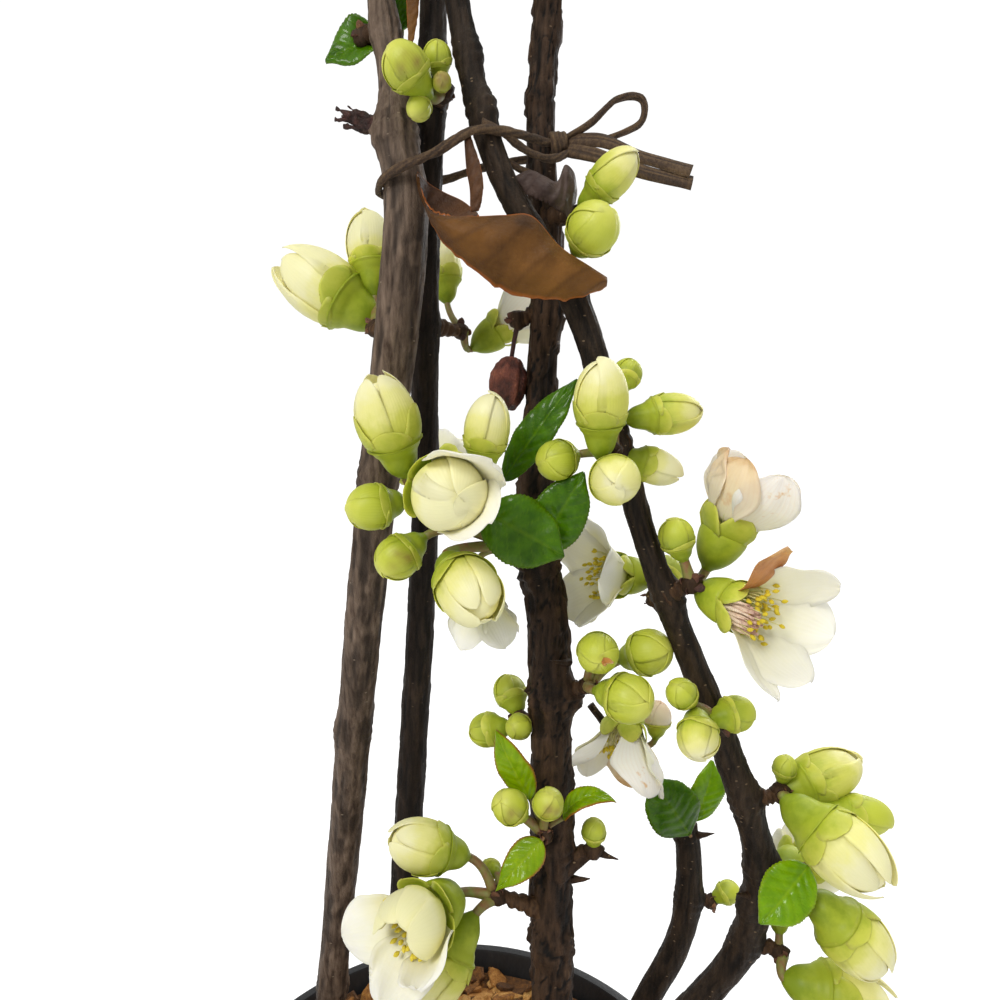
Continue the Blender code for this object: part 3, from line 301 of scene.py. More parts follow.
        ("opening", 1.3, (-14, 12, 11), (-8, 1, 5), {"ripe": 1.0, "sepal": 0.7, "size": 1.1}),
        ("swollen", 1.05, (-3, 14, 22), (-1, 2, 8), {"ripe": 1.0, "sepal": 0.7, "size": 1.1}),
        ("leaf", 0.9, (8, 12, 2), None),
    )),
    "cluster_rear_gap": ("stem_rear", 384, (9, 11, -1), (
        ("flower", 0.9, (13, 6, 2), (6, 0, 4), {"open": (0.5, 0.42, 0.55, 0.4, 0.48),
         "finishes": (5, 2, 5, 2, 2)}),
        ("opening", 0.8, (-5, 7, 17), (-1, 2, 8)),
    )),
    "cluster_rear_tie": ("stem_rear", 436, (4, -8, -1), (
        ("bud", 0.98, (-8, -9, 2), (-5, -4, 5), {"shift": (0.6, 0, -0.9), "ripe": 0.4, "spots": 1}),
        ("tight", 0.85, (-1, -3, 7), None, {"shift": (-0.4, 0, -1)}),
        ("tight", 0.55, (0, -8, 0), None, {"shift": (-0.2, 0, -0.8), "spots": 2, "ripe": 0.4}),
        ("tight", 0.65, (-6, -6, -4), None, {"shift": (0.6, 0, -1.2), "ripe": 0.5, "aim": (-3, -4, -7),
         "size": 1.15}),
    )),
    "cluster_tie_right": ("stem_middle", 410, (7, -10, -2), (
        ("swollen", 0.9, (6, -7, 6), (6, -4, 6), {"ripe": 0.55, "size": 0.92,
         "open": (0, 0.02, 0, 0.02, 0)}),
        ("bud", 1.12, (2, -12, -6), (2, -8, -1), {"aim": (3, -8, 4), "ripe": 0.4}),
    )),
    "cluster_left_high": ("stem_left", 452, (-6, 3, 0), (
        ("leaf", 0.85, (-6, 6, -1), (-7, 1, -2), {"start": (6.1, 6.1, 2.0), "end": (-9.6, 0.1, -5.2),
         "width": 13, "bend": 0.4, "face": (-0.1, -1, 0.35), "fold": 0.35, "deep": True}),
        ("leaf", 0.75, (1, 7, 8), (-3, 1, 7), {"start": (8.6, 6.1, 3.9), "end": (8.0, 4.1, 13.6),
         "width": 8}),
    )),
    "cluster_middle_husk": ("stem_middle", 386, (-7, 0, -2), (
        ("husk", 1.0, (-4, -1, -13), (-1, 0, -8), {"shift": (1.4, 0, -3.2)}),
    )),
    "cluster_rear_back": ("stem_rear", 338, (1, 12, 3), (
        ("half", 0.95, (1, 15, 3), None),
        ("bud", 1.0, (-8, 7, 2), None),
        ("leaf", 0.9, (5, 8, -7), None),
    )),
    "cluster_left_upper": ("stem_left", 484, (-9, 6, 4), (
        ("flower", 0.95, (-13, 4, 7), None),
        ("bud", 1.0, (-3, 11, 2), None),
        ("tight", 1.0, (-6, -8, 2), None),
        ("leaf", 1.0, (-4, 5, 13), None),
    )),
    "cluster_rear_upper": ("stem_rear", 488, (-4, 10, 4), (
        ("flower", 0.95, (-4, 13, 7), None),
        ("bud", 1.05, (8, 9, 0), None),
        ("tight", 1.0, (-9, 5, -2), None),
        ("leaf", 1.0, (4, 9, 14), None),
    )),
    "cluster_middle_upper": ("stem_middle", 530, (9, 4, 5), (
        ("flower", 1.0, (13, 6, 4), None),
        ("bud", 1.05, (4, 10, 6), None),
        ("swollen", 0.9, (6, -9, 4), None),
        ("leaf", 1.0, (8, 0, 15), None),
    )),
    "cluster_right_high": ("stem_right", 486, (6, -7, 4), (
        ("half", 1.0, (10, -9, 4), None),
        ("bud", 1.0, (-1, -10, 7), None),
        ("leaf", 1.0, (11, 0, 8), None),
    )),
}

# Buds: length and width in millimetres, share of the length below the petals' foot, how far round
# the ball the sepals reach in degrees, how wide they are, how far each petal is open, and how
# ripe its petals are, from 0, green, to 1, white
BUDS = {
    "tight": (9.0, 8.0, 0.12, 12, 0.90, (0, 0, 0, 0, 0), 0.0),
    "bud": (12.5, 11.0, 0.14, 14, 0.90, (0, 0, 0, 0, 0), 0.25),
    "swollen": (20.0, 12.0, 0.15, 10, 0.84, (0.0, 0.02, 0.0, 0.03, 0.02), 0.8),
    "opening": (21.0, 14.0, 0.14, 6, 0.80, (0.05, 0.12, 0.04, 0.17, 0.08), 0.9),
}
# Flowers: reach, rise of the tips, width of a petal, and the ball of shut inner petals or none
FLOWERS = {"flower": (18.0, 7.0, 16.0, None), "half": (15.0, 9.5, 15.0, 6.6)}
# Kinds that are joined in one piece: the closed buds, and all that has opened
KIND_GROUPS = {"bud": ("tight", "bud"), "flower": ("swollen", "opening", "flower", "half", "leaf")}
PETAL_VALUES = ("along", "edge", "side", "tint", "ripe", "spot")
PETALS = 5
STALK_RADIUS = 1.1
STAMENS = {True: 48, False: 8}
WITHERED_STAMENS = 60
LEAF_LENGTH = 22.0
LEAF_WIDTH = 9.5
YOUNG_LEAF_HEIGHT = 262 * MM
THORN_LENGTH = 9.0
HUSK_REACH = 7.0
HUSK_RADIUS = 4.6

# Garden tie round the stems: places in millimetres
TIE_RADIUS = 1.15
TIE_RING = (
    (-15, -4, 414), (-13, -10, 415), (-8, -13, 417), (0, -14, 420), (8, -15, 424), (16, -11, 425),
    (25, -1, 426), (30, 4, 427), (31, 10, 427), (26, 14, 427), (12, 14, 425), (-4, 13, 420),
    (-13, 5, 415), (-15, -4, 414),
)
TIE_SECOND = (
    (10, -14, 426), (14, -12, 425), (20, -8, 422), (26, -5, 421), (31, 0, 424),
)
TIE_THIRD = ((14, -9, 420), (19, -7, 418), (25, -4, 416), (30, 2, 416), (31, 7, 417))
TIE_LOOP = (
    (29, 1, 427), (36, 1, 431), (42, 0, 436), (48, 0, 436), (48, 1, 431), (41, 2, 428),
    (33, 3, 426),
)
TIE_TAILS = (
    ((29, 2, 427), (38, -2, 426), (47, -4, 422), (59, -6, 418)),
    ((29, 1, 425), (37, -4, 422), (47, -6, 418), (59, -7, 415)),
)
TIE_KNOT = (28, 1, 426)

# Dead leaf caught in the tie: its crest, its lower edge and the strip folded up behind it
DEAD_LEAF_CREST = (
    (-4, -18, 414), (-3, -19, 409), (0, -21, 405), (8, -23, 404), (15, -24, 404), (21, -23, 404),
    (27, -22, 398), (34, -20, 394), (38, -18, 392),
)
DEAD_LEAF_EDGE = (
    (-4, -18, 412), (-2, -20, 405), (2, -22, 398), (7, -22, 394), (14, -21, 389), (22, -20, 387),
    (31, -19, 387), (38, -18, 390),
)
DEAD_LEAF_BACK = (
    (-4.3, -15, 415.3), (-2, -12, 413.5), (1.6, -11, 411.8), (5.5, -12, 409.8), (9, -14, 406.7),
)
DEAD_LEAF_BACK_FOOT = (
    (-3.8, -16, 412.2), (-1.7, -16, 407.7), (2, -17, 405.6), (5.8, -18, 404.9), (9.2, -19, 404.9),
)
DEAD_LEAF_STRIP = (
    (6.4, -13, 424.6), (7.3, -14, 420.2), (8.2, -16, 415.4), (8.9, -18, 410.6), (8.5, -19, 405.8),
)
GREY_LEAF = (
    (17.5, -10, 415.8), (20.9, -11, 416.8), (24.2, -12, 415.2), (27.1, -11, 414.4),
    (29, -9, 418.5), (31.2, -8, 417.2), (32.1, -6, 414.6),
)
GREY_LEAF_FOOT = (
    (17.9, -10, 413.6), (20.9, -12, 410.9), (24.3, -12, 409.4), (27.8, -11, 407.6),
    (30.3, -9, 406.5), (31.6, -7, 410.1), (32.2, -6, 412.4),
)
PAPER_STRIP = ((-6.2, -4, 463.5), (-6, -5, 453.5), (-6.5, -6, 445.3))
DEAD_STUB = ((-12, -4, 428), (-17, -4, 429), (-21, -5, 430), (-25, -5, 431))

# Lichen on the middle stem, and thorns as (foot, tip, radius), in millimetres
LICHEN_PLACE = (19.5, -6, 290)
THORNS = (
    ((32, -4, 297), (26.5, -9, 298.6), 1.0),
    ((32.5, -4, 236), (38, -7, 237.2), 1.6),
    ((31, -5, 240.5), (41, -6.5, 245.8), 3.6),
    ((76, 38, 222), (84, 36, 223.5), 2.1),
    ((82, -5, 232), (77, -8, 233.5), 1.5),
)


def paint(red, green, blue):
    """Scene colour of a paint mixed by eye, each part from 0 to 255."""
    parts = np.array([red, green, blue]) / 255
    linear = np.where(parts > 0.04045, ((parts + 0.055) / 1.055) ** 2.4, parts / 12.92)
    return (*linear.tolist(), 1.0)


# Numbers and curves ------------------------------------------


def unit(rows):
    """Rows of a vector array, scaled to length 1."""
    return rows / np.maximum(np.linalg.norm(rows, axis=-1, keepdims=True), 1e-12)


def as_points(x, y, z):
    """Three arrays stretched to one shape and joined as points."""
    return np.stack(np.broadcast_arrays(x, y, z), axis=-1)


def all_round(sides):
    """Angles of that many places set evenly round a circle."""
    return np.linspace(0, math.tau, sides, endpoint=False)


def rise(low, high, values):
    """0 below low, 1 above high, and 3t^2 - 2t^3 between them."""
    t = np.clip((values - low) / (high - low), 0, 1)
    return t * t * (3 - 2 * t)


def corner_value(cell, seed):
    """A whole-number place hashed to a value from 0 to 1, by products and shifts."""
    mixed = cell[..., 0] * 374761393 + cell[..., 1] * 668265263 + cell[..., 2] * 951274213
    mixed = (mixed + seed * 144269504) & 0xFFFFFFFF
    mixed = ((mixed ^ (mixed >> 13)) * 1274126177) & 0xFFFFFFFF
    return ((mixed ^ (mixed >> 16)) & 0xFFFF) / 65535.0


def noise(places, seed=0):
    """Value noise from -1 to 1: the eight corner values about a place, blended by t^2(3 - 2t)."""
    cell = np.floor(places).astype(np.int64)
    part = places - cell
    part = part * part * (3 - 2 * part)
    total = 0.0
    for corner in np.ndindex(2, 2, 2):
        weight = np.prod(np.where(corner, part, 1 - part), axis=-1)
        total = total + weight * corner_value(cell + np.array(corner), seed)
    return 2 * total - 1


def layered(places, seed=0, layers=3):
    """Noise with finer and weaker noise on it: layer k has 2^k the frequency, 2^-k the height."""
    return sum(noise(places * 2 ** k, seed + k) / 2 ** k for k in range(layers))


def curve(knots, step):
    """Catmull-Rom curve through knots, as places about step apart along it.

    Between knots b and c, with a before and d after them, it is
    (2b + (c - a)u + (2a - 5b + 4c - d)u^2 + (3b - a - 3c + d)u^3) / 2, u from 0 to 1.
    """
    knots = np.asarray(knots, float)
    padded = np.vstack([knots[:1], knots, knots[-1:]])
    a, b, c, d = (padded[i:len(knots) - 1 + i, None] for i in range(4))
    u = np.linspace(0, 1, 40, endpoint=False)[None, :, None]
    path = 2 * b + (c - a) * u + (2 * a - 5 * b + 4 * c - d) * u ** 2
    path = (path + (3 * b - a - 3 * c + d) * u ** 3) / 2
    path = np.vstack([path.reshape(-1, knots.shape[1]), knots[-1:]])
    along = np.linalg.norm(np.diff(path[:, :3], axis=0), axis=1)
    along = np.concatenate([[0], np.cumsum(along)])
    wanted = np.linspace(0, along[-1], max(2, round(along[-1] / step)) + 1)
    return np.stack([np.interp(wanted, along, column) for column in path.T], axis=1)


def square_axes(path, hint):
    """Direction of a path at each place, and two unit vectors square to it, one nearest hint."""
    way = unit(np.gradient(path, axis=0))
    hint = np.asarray(hint, float)
    across = unit(hint - way * (way @ hint)[:, None])
    return way, across, np.cross(way, across)


def clear_hint(path):
    """The axis that a short path runs along least, to turn its rings by."""
    return np.eye(3)[np.argmin(np.abs(path[-1] - path[0]))]


def sweep(path, radii, sides, hint=None, turn=0.0):
    """Rings carried along a path: centre + across * r cos(a) + other * r sin(a), as a grid."""
    path = np.asarray(path, float)
    _, across, other = square_axes(path, clear_hint(path) if hint is None else hint)
    angle = all_round(sides) + np.reshape(turn, (-1, 1))
    radii = np.asarray(radii, float)
    radii = radii[:, None] if radii.ndim == 1 else radii
    ring = across[:, None] * np.cos(angle)[..., None] + other[:, None] * np.sin(angle)[..., None]
    return path[:, None] + ring * radii[..., None]


def revolve(profile, sides, lobes=0, depth=0.0):
    """A (radius, height) profile turned about +Z, its radius times 1 + depth * cos(lobes * a)."""
    profile = np.asarray(profile, float)
    angle = all_round(sides)
    radius = profile[:, :1] * (1 + depth * np.cos(lobes * angle))
    height = np.broadcast_to(profile[:, 1:], radius.shape)
    return np.stack([radius * np.cos(angle), radius * np.sin(angle), height], axis=-1)


# Meshes ------------------------------------------------------


def grid_faces(rows, columns, around=False):
    """Quads of a grid of points, the last column joined to the first where it goes around."""
    index = np.arange(rows * columns).reshape(rows, columns)
    after = np.roll(index, -1, axis=1) if around else index[:, 1:]
    index = index if around else index[:, :-1]
    corners = (index[:-1], after[:-1], after[1:], index[1:])
    return np.stack([corner.ravel() for corner in corners], axis=1)


def closed_tube(grid):
    """Points and faces of a grid of rings, closed by a pole in the middle of each end ring."""
    rows, columns = grid.shape[:2]
    points = np.vstack([grid.reshape(-1, 3), grid[0].mean(0), grid[-1].mean(0)])
    ring = np.arange(columns)
    after = np.roll(ring, -1)
    none = np.full(columns, -1)
    last = (rows - 1) * columns
    foot = np.stack([after, ring, np.full(columns, rows * columns), none], axis=1)
    top = np.stack([ring + last, after + last, np.full(columns, rows * columns + 1), none], axis=1)
    return points, np.vstack([grid_faces(rows, columns, True), foot, top])


def closed_sheet(grid, outward, thickness):
    """Points and faces of a thin sheet: the grid, the same grid sunk by thickness, and a rim."""
    rows, columns = grid.shape[:2]
    count = rows * columns
    sunk = grid - outward * np.asarray(thickness)[..., None]
    upper = grid_faces(rows, columns)
    index = np.arange(count).reshape(rows, columns)
    edge = np.concatenate([index[0], index[1:, -1], index[-1, -2::-1], index[-2:0:-1, 0]])
    after = np.roll(edge, -1)
    rim = np.stack([after, edge, edge + count, after + count], axis=1)
    points = np.vstack([grid.reshape(-1, 3), sunk.reshape(-1, 3)])
    return points, np.vstack([upper, upper[:, ::-1] + count, rim])


class Bundle:
    """Many small shapes gathered into one mesh, with a number of each kind at every point."""

    def __init__(self, *kinds):
        self.kinds = kinds
        self.points, self.faces, self.finishes, self.total = [], [], [], 0
        self.values = {kind: [] for kind in kinds}

    def add(self, points, faces, finish=0, **values):
        """Takes in a shape. A value is one number or an array with one for each point."""
        faces = np.where(faces >= 0, faces + self.total, -1)
        self.points.append(points)
        self.faces.append(faces)
        self.finishes.append(np.full(len(faces), finish))
        self.total += len(points)
        for kind in self.kinds:
            value = np.asarray(values.get(kind, 0.0), float).ravel()
            self.values[kind].append(np.broadcast_to(value, len(points)) if value.size == 1 else value)

    def add_tube(self, grid, finish=0, **values):
        """Takes in a closed tube, its values given over the grid of rings."""
        ends = {}
        for kind, value in values.items():
            value = np.broadcast_to(np.asarray(value, float), grid.shape[:2])
            ends[kind] = np.concatenate([value.ravel(), [value[0].mean(), value[-1].mean()]])
        self.add(*closed_tube(grid), finish, **ends)

    def make(self, name, materials, slot, nodes):
        """One object from everything gathered, riding on the plant in place of those solids."""
        points, faces = np.concatenate(self.points), np.concatenate(self.faces)
        used = faces >= 0
        starts = np.concatenate([[0], np.cumsum(used.sum(1))[:-1]])
        mesh = bpy.data.meshes.new(name)
        mesh.vertices.add(len(points))
        mesh.vertices.foreach_set("co", points.astype(np.float32).ravel())
        mesh.loops.add(int(used.sum()))
        mesh.loops.foreach_set("vertex_index", faces[used].astype(np.int32))
        mesh.polygons.add(len(faces))
        mesh.polygons.foreach_set("loop_start", starts.astype(np.int32))
        mesh.polygons.foreach_set("material_index", np.concatenate(self.finishes).astype(np.int32))
        mesh.update(calc_edges=True)
        for kind in self.kinds:
            layer = mesh.attributes.new(kind, "FLOAT", "POINT")
            layer.data.foreach_set("value", np.concatenate(self.values[kind]).astype(np.float32))
        mesh.shade_smooth()
        return settle(bpy.data.objects.new(name, mesh), materials, nodes)


def settle(piece, materials, nodes):
    """Puts a piece in the scene with its materials, riding on the plant in place of its solids."""
    bpy.context.scene.collection.objects.link(piece)
    for finish in materials:
        piece.data.materials.append(finish)
    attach(piece, "root")
    if nodes:
        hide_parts(*nodes)
    return piece


# Growth ------------------------------------------------------


def stem_line(name, step=BARK_STEP):
    """Axis of a stem with its radius, in metres, flaring as 1 + 0.45(1 - h)^2 at the foot."""
    line = curve(STEMS[name], step) * MM
    line[0, 2] = STEM_FOOT
    above = (line[:, 2] - STEM_FOOT) / ROOT_FLARE_HEIGHT
    line[:, 3] *= 1 + (ROOT_FLARE - 1) * np.clip(1 - above, 0, 1) ** 2
    return line


def limb_at(name, height):
    """Axis place, radius and direction of a stem where it first reaches a height."""
    line = stem_line(name)
    i = int(np.argmax(line[:, 2] >= height))
    way = Vector(line[min(i + 2, len(line) - 1), :3]) - Vector(line[max(i - 2, 0), :3])
    return Vector(line[i, :3]), float(line[i, 3]), way.normalized()


def bough_line(name):
    """Axis of a side bough with its radius: start(1-t)^2 + 2 middle t(1-t) + tip t^2."""
    parent, height, tip = BOUGHS[name]
    centre, _, _ = limb_at(parent, height * MM)
    start, end = np.array(centre), np.array(tip) * MM
    middle = (start + end) / 2 + np.array((0, 0, -BOUGH_SAG * np.linalg.norm(end - start)))
    t = np.linspace(0, 1, 46)[:, None]
    places = start * (1 - t) ** 2 + middle * 2 * t * (1 - t) + end * t * t
    radii = BOUGH_RADII[0] + (BOUGH_RADII[1] - BOUGH_RADII[0]) * t
    return np.hstack([places, radii])


def side_axes(way, hint=Vector((0, -1, 0.2))):
    """Two unit vectors square to way, the first as near to hint as it can be."""
    across = hint - way * hint.dot(way)
    if across.length < 1e-4:
        across = Vector((1, 0, 0)) - way * way.x
    across.normalize()
    return across, way.cross(across).normalized()


def spread(way, turn, lean):
    """Unit vector that leans away from way, towards the side given by turn."""
    across, other = side_axes(way)
    return (way + (across * math.cos(turn) + other * math.sin(turn)) * lean).normalized()


def twig_points(rng, start, heading, length):
    """A twig that bends upwards and wavers a little from joint to joint."""
    joints = max(2, round(length / TWIG_JOINT))
    way = heading.normalized()
    points = [start, start + way * (length / joints)]
    for _ in range(joints - 1):
        waver = Vector((rng.uniform(-1, 1), rng.uniform(-1, 1), rng.uniform(-1, 1))) * TWIG_WAVER
        way = (way + waver + Vector((0, 0, TWIG_RISE / joints))).normalized()
        points.append(points[-1] + way * (length / joints))
    return points


def tuft(rng, tip, way, kinds):
    """What a spur bears: (kind, scale, spur tip, centre, aim, pose) of each bud, bloom or leaf."""
    turn = rng.uniform(0, math.tau)
    found = []
    for kind in kinds:
        if kind == "blossom":
            kind = rng.choice(("flower", "flower", "swollen"))
        turn += GOLDEN_ANGLE
        aim = spread(way, turn, rng.uniform(*TUFT_SPREAD))
        scale = rng.uniform(0.85, 1.05)
        found.append((kind, scale, tip, tip + aim * (TUFT_REACH[kind] * MM * scale), aim, {}))
    return found


def mass_growth(name, lines):
    """Twigs and borne items of a crown mass by its seeded rule, then twiglets between them."""
    parent, length, seed = MASSES[name]
    rng = random.Random(seed)
    line = lines[parent]
    end = Vector(line[-1, :3])
    heading = (end - Vector(line[-8, :3])).normalized()
    leader = twig_points(rng, end, heading, length * MM)
    middle = leader[len(leader) // 2]
    twigs = [(leader, line[-1, 3], TWIG_RADII[1])]
    items = tuft(rng, leader[-1], leader[-1] - leader[-2], TIP_TUFT)
    turn = rng.uniform(0, math.tau)
    for k in range(SIDE_TWIGS + 1):
        turn += GOLDEN_ANGLE
        at = 1 + k * (len(leader) - 2) // (SIDE_TWIGS + 1)
        way = (leader[at + 1] - leader[at - 1]).normalized()
        out = spread(way * 0.5, turn, 1.0)
        if k == SIDE_TWIGS:
            side, kinds = [leader[at], leader[at] + out * SPUR_LENGTH], SPUR_TUFT
        else:
            side = twig_points(rng, leader[at], out, length * MM * rng.uniform(*SIDE_TWIG_SHARE))
            kinds = TIP_TUFT
        twigs.append((side, TWIG_RADII[0] * 0.85, TWIG_RADII[1]))
        items += tuft(rng, side[-1], side[-1] - side[-2], kinds)
    for points, _, _ in list(twigs):
        for a, b in zip(points, points[1:]):
            for share in (0.35, 0.8):
                turn += GOLDEN_ANGLE
                start = a.lerp(b, share)
                out = spread((b - a).normalized() * 0.6, turn, 1.0)
                reach = rng.uniform(*TWIGLET_LENGTH)
                tip = start + out * reach + Vector((0, 0, 0.15 * reach))
                if (tip - middle).length < length * MM * MASS_SPACE - 8 * MM:
                    twigs.append(([start, start.lerp(tip, 0.55) + out * MM, tip], *TWIGLET_RADII))
                    items += tuft(rng, tip, tip - start, rng.choice(TWIGLET_TUFTS))
    space = length * MM * MASS_SPACE
    return twigs, [item for item in items if (item[3] - middle).length < space]


def cluster_growth(name):
    """Spur of a flowering cluster as (start, tip), and its items set out from the spur's tip."""
    stem, height, reach, items = CLUSTERS[name]
    centre, radius, axis = limb_at(stem, height * MM)
    tip = centre + Vector(reach) * MM
    out = Vector(reach).normalized()
    slant = math.sqrt(max(1 - out.dot(axis) ** 2, 1e-6))
    start = centre + out * (radius * 0.6 / slant)
    if (tip - start).dot(out) < 3 * MM:
        tip = start + out * 3 * MM
    borne = []
    for kind, scale, offset, way, *held in items:
        pose = held[0] if held else {}
        place = tip + Vector(offset) * MM
        aim = Vector(way) if way else place - tip
        aim = Vector(pose.get("aim", aim)).normalized()
        place = place + Vector(pose.get("shift", (0, 0, 0))) * MM
        borne.append((kind, scale * pose.get("size", 1.0), tip, place, aim, pose))
    return (start, tip), borne


def grow():
    """The whole plant: axes of the limbs, twigs, spurs, and everything that is borne on them."""
    lines = {name: stem_line(name) for name in STEMS}
    lines.update({name: bough_line(name) for name in BOUGHS})
    twigs, spurs, items = [], [], []
    for name in MASSES:
        mass_twigs, mass_items = mass_growth(name, lines)
        twigs += mass_twigs
        items += mass_items
    for name in CLUSTERS:
        spur, borne = cluster_growth(name)
        spurs.append(spur)
        items += borne
    return {"lines": lines, "twigs": twigs, "spurs": spurs, "items": items}


PLANT = grow()
GROWN_NODES = [*CLUSTERS, *MASSES]


# Buds, flowers and leaves, in millimetres about +Z -----------


def running_sum(values, places):
    """Length gained from row to row, from a rate at each row, by the trapezium rule."""
    middles = (values[1:] + values[:-1]) / 2 * np.diff(places, axis=0)
    return np.concatenate([np.zeros((1, values.shape[1])), np.cumsum(middles, axis=0)])


def petal(length, half, ball, opening, stretch=1.0, first=75, taper=2.4, waist=0.35, lap=0.3,
          ruffle=0.0, foot=1.4, cells=(12, 9), seed=0, late=0.0, point=0.0, ragged=0.0, swirl=0.0,
          tuck=0.0):
    """One petal or sepal about +Z, facing +X, as (points, outward, along, side).

    t runs from its foot to its tip and s from edge to edge. Its middle line leans from the axis
    by first - t * length / ball while shut, and swings from 18 to 84 and back to 70 degrees when
    open; opening mixes the two, and late keeps the foot shut. It bends across at the radius of the
    ball when shut and of 24 mm when open. Half width is half * (waist + (1 - waist) * rise(t)) *
    sqrt(1 - t^taper), drawn to a point by point and torn by noise where ragged. Lap lifts one edge
    and sinks the other, so that neighbours overlap all one way; swirl turns the tip round the axis
    and tuck sinks the foot.
    """
    rows, columns = cells
    t = 1 - (1 - np.linspace(0, 1, rows)[:, None]) ** 1.6
    s = np.linspace(-1, 1, columns)[None]
    opened = opening * (rise(late - 0.3, late + 0.3, t) if late else np.ones_like(t))
    shut = math.radians(first) - t * length / ball
    wide = math.radians(18) + math.radians(66) * rise(0, 0.5, t) - math.radians(14) * t ** 3
    lean = shut + (wide - shut) * opened
    near = opened[0, 0]
    foot_out = ball * math.cos(math.radians(first)) * (1 - near) + foot * near
    foot_up = ball * (1 - math.sin(math.radians(first))) * (1 - near)
    out = foot_out + running_sum(np.sin(lean), t * length)
    up = foot_up + running_sum(np.cos(lean), t * length)
    widths = half * (waist + (1 - waist) * rise(0, 0.55, t))
    tip = (1 - point) * np.sqrt(np.clip(1 - t ** taper, 0, 1)) + point * (1 - t ** 1.6)
    widths = np.maximum(widths * tip, 0.03 * half)
    torn = as_points(t * 6 + seed, np.sign(s) * 3 + seed, 0 * t)
    widths = widths * (1 + ragged * noise(torn, seed) * np.abs(s))
    flat = np.maximum(opened, rise(0.04, 0.5, opened))
    bend = (1 - flat) / ball + flat / 24
    turned = s * widths * bend
    outward = as_points(
        np.cos(lean) * np.cos(turned), np.sin(turned), -np.sin(lean) * np.cos(turned))
    sunk = (1 - np.cos(turned)) / bend
    points = as_points(
        out - np.cos(lean) * sunk, np.sin(turned) / bend, up + np.sin(lean) * sunk)
    lifted = lap * s * rise(0, 0.3, t) - tuck * (1 - rise(0, 0.35, t))
    if ruffle:
        wave = as_points(2.2 * t + seed, 1.7 * s + 3.1 * seed, 0.5 * seed)
        lifted = lifted + ruffle * layered(wave, seed, 2) * (0.25 + s * s) * t * (1.15 - 0.8 * t ** 8)
    points = points + outward * lifted[..., None]
    if swirl:
        turn = swirl * t * t
        x, y = points[..., 0].copy(), points[..., 1].copy()
        points[..., 0] = x * np.cos(turn) - y * np.sin(turn)
        points[..., 1] = x * np.sin(turn) + y * np.cos(turn)
    points[..., 2] *= stretch + (1 - stretch) * near
    return points, outward, np.broadcast_to(t, lifted.shape), np.broadcast_to(s, lifted.shape)


LAYERING = (0, 3, 1, 4, 2)


def spun(points, angle):
    """Points turned about +Z."""
    turn = np.array(((math.cos(angle), math.sin(angle), 0),
                     (-math.sin(angle), math.cos(angle), 0), (0, 0, 1)))
    return points @ turn


def leafed(parts, layer, shape, angle, thickness, fine, finish=0, ripe=1.0):
    """Adds a petal to a list of parts, as a closed sheet, or as an open one where it is small."""
    points, outward, along, side = shape
    edge = np.maximum(np.abs(side) ** 5, along ** 9)
    values = {"along": along if layer == "petal" else 0.45 + 0.55 * along, "edge": edge, "side": side}
    points, outward = spun(points, angle), spun(outward, angle)
    if fine:
        solid = closed_sheet(points, outward, thickness * (1 - 0.7 * edge))
        values = {kind: np.tile(value.ravel(), 2) for kind, value in values.items()}
    else:
        solid = points.reshape(-1, 3), grid_faces(*points.shape[:2])
        values = {kind: value.ravel() for kind, value in values.items()}
    parts.append((layer, *solid, finish, {**values, "ripe": ripe}))


def turned_part(parts, layer, profile, sides, finish=0, lobes=0, depth=0.0, ripe=1.0):
    """Adds a closed turned shape to a list of parts, from the foot of its profile to the top."""
    grid = revolve(curve(profile, 0.6 if sides > 12 else 1.6), sides, lobes, depth)
    points, faces = closed_tube(grid)
    height = grid[..., 2]
    along = (height - height.min()) / max(np.ptp(height), 1e-6)
    along = np.concatenate([along.ravel(), [along[0, 0], along[-1, 0]]])
    along = along if layer == "petal" else along * 0.5
    parts.append((layer, points, faces, finish, {"along": along, "ripe": ripe}))


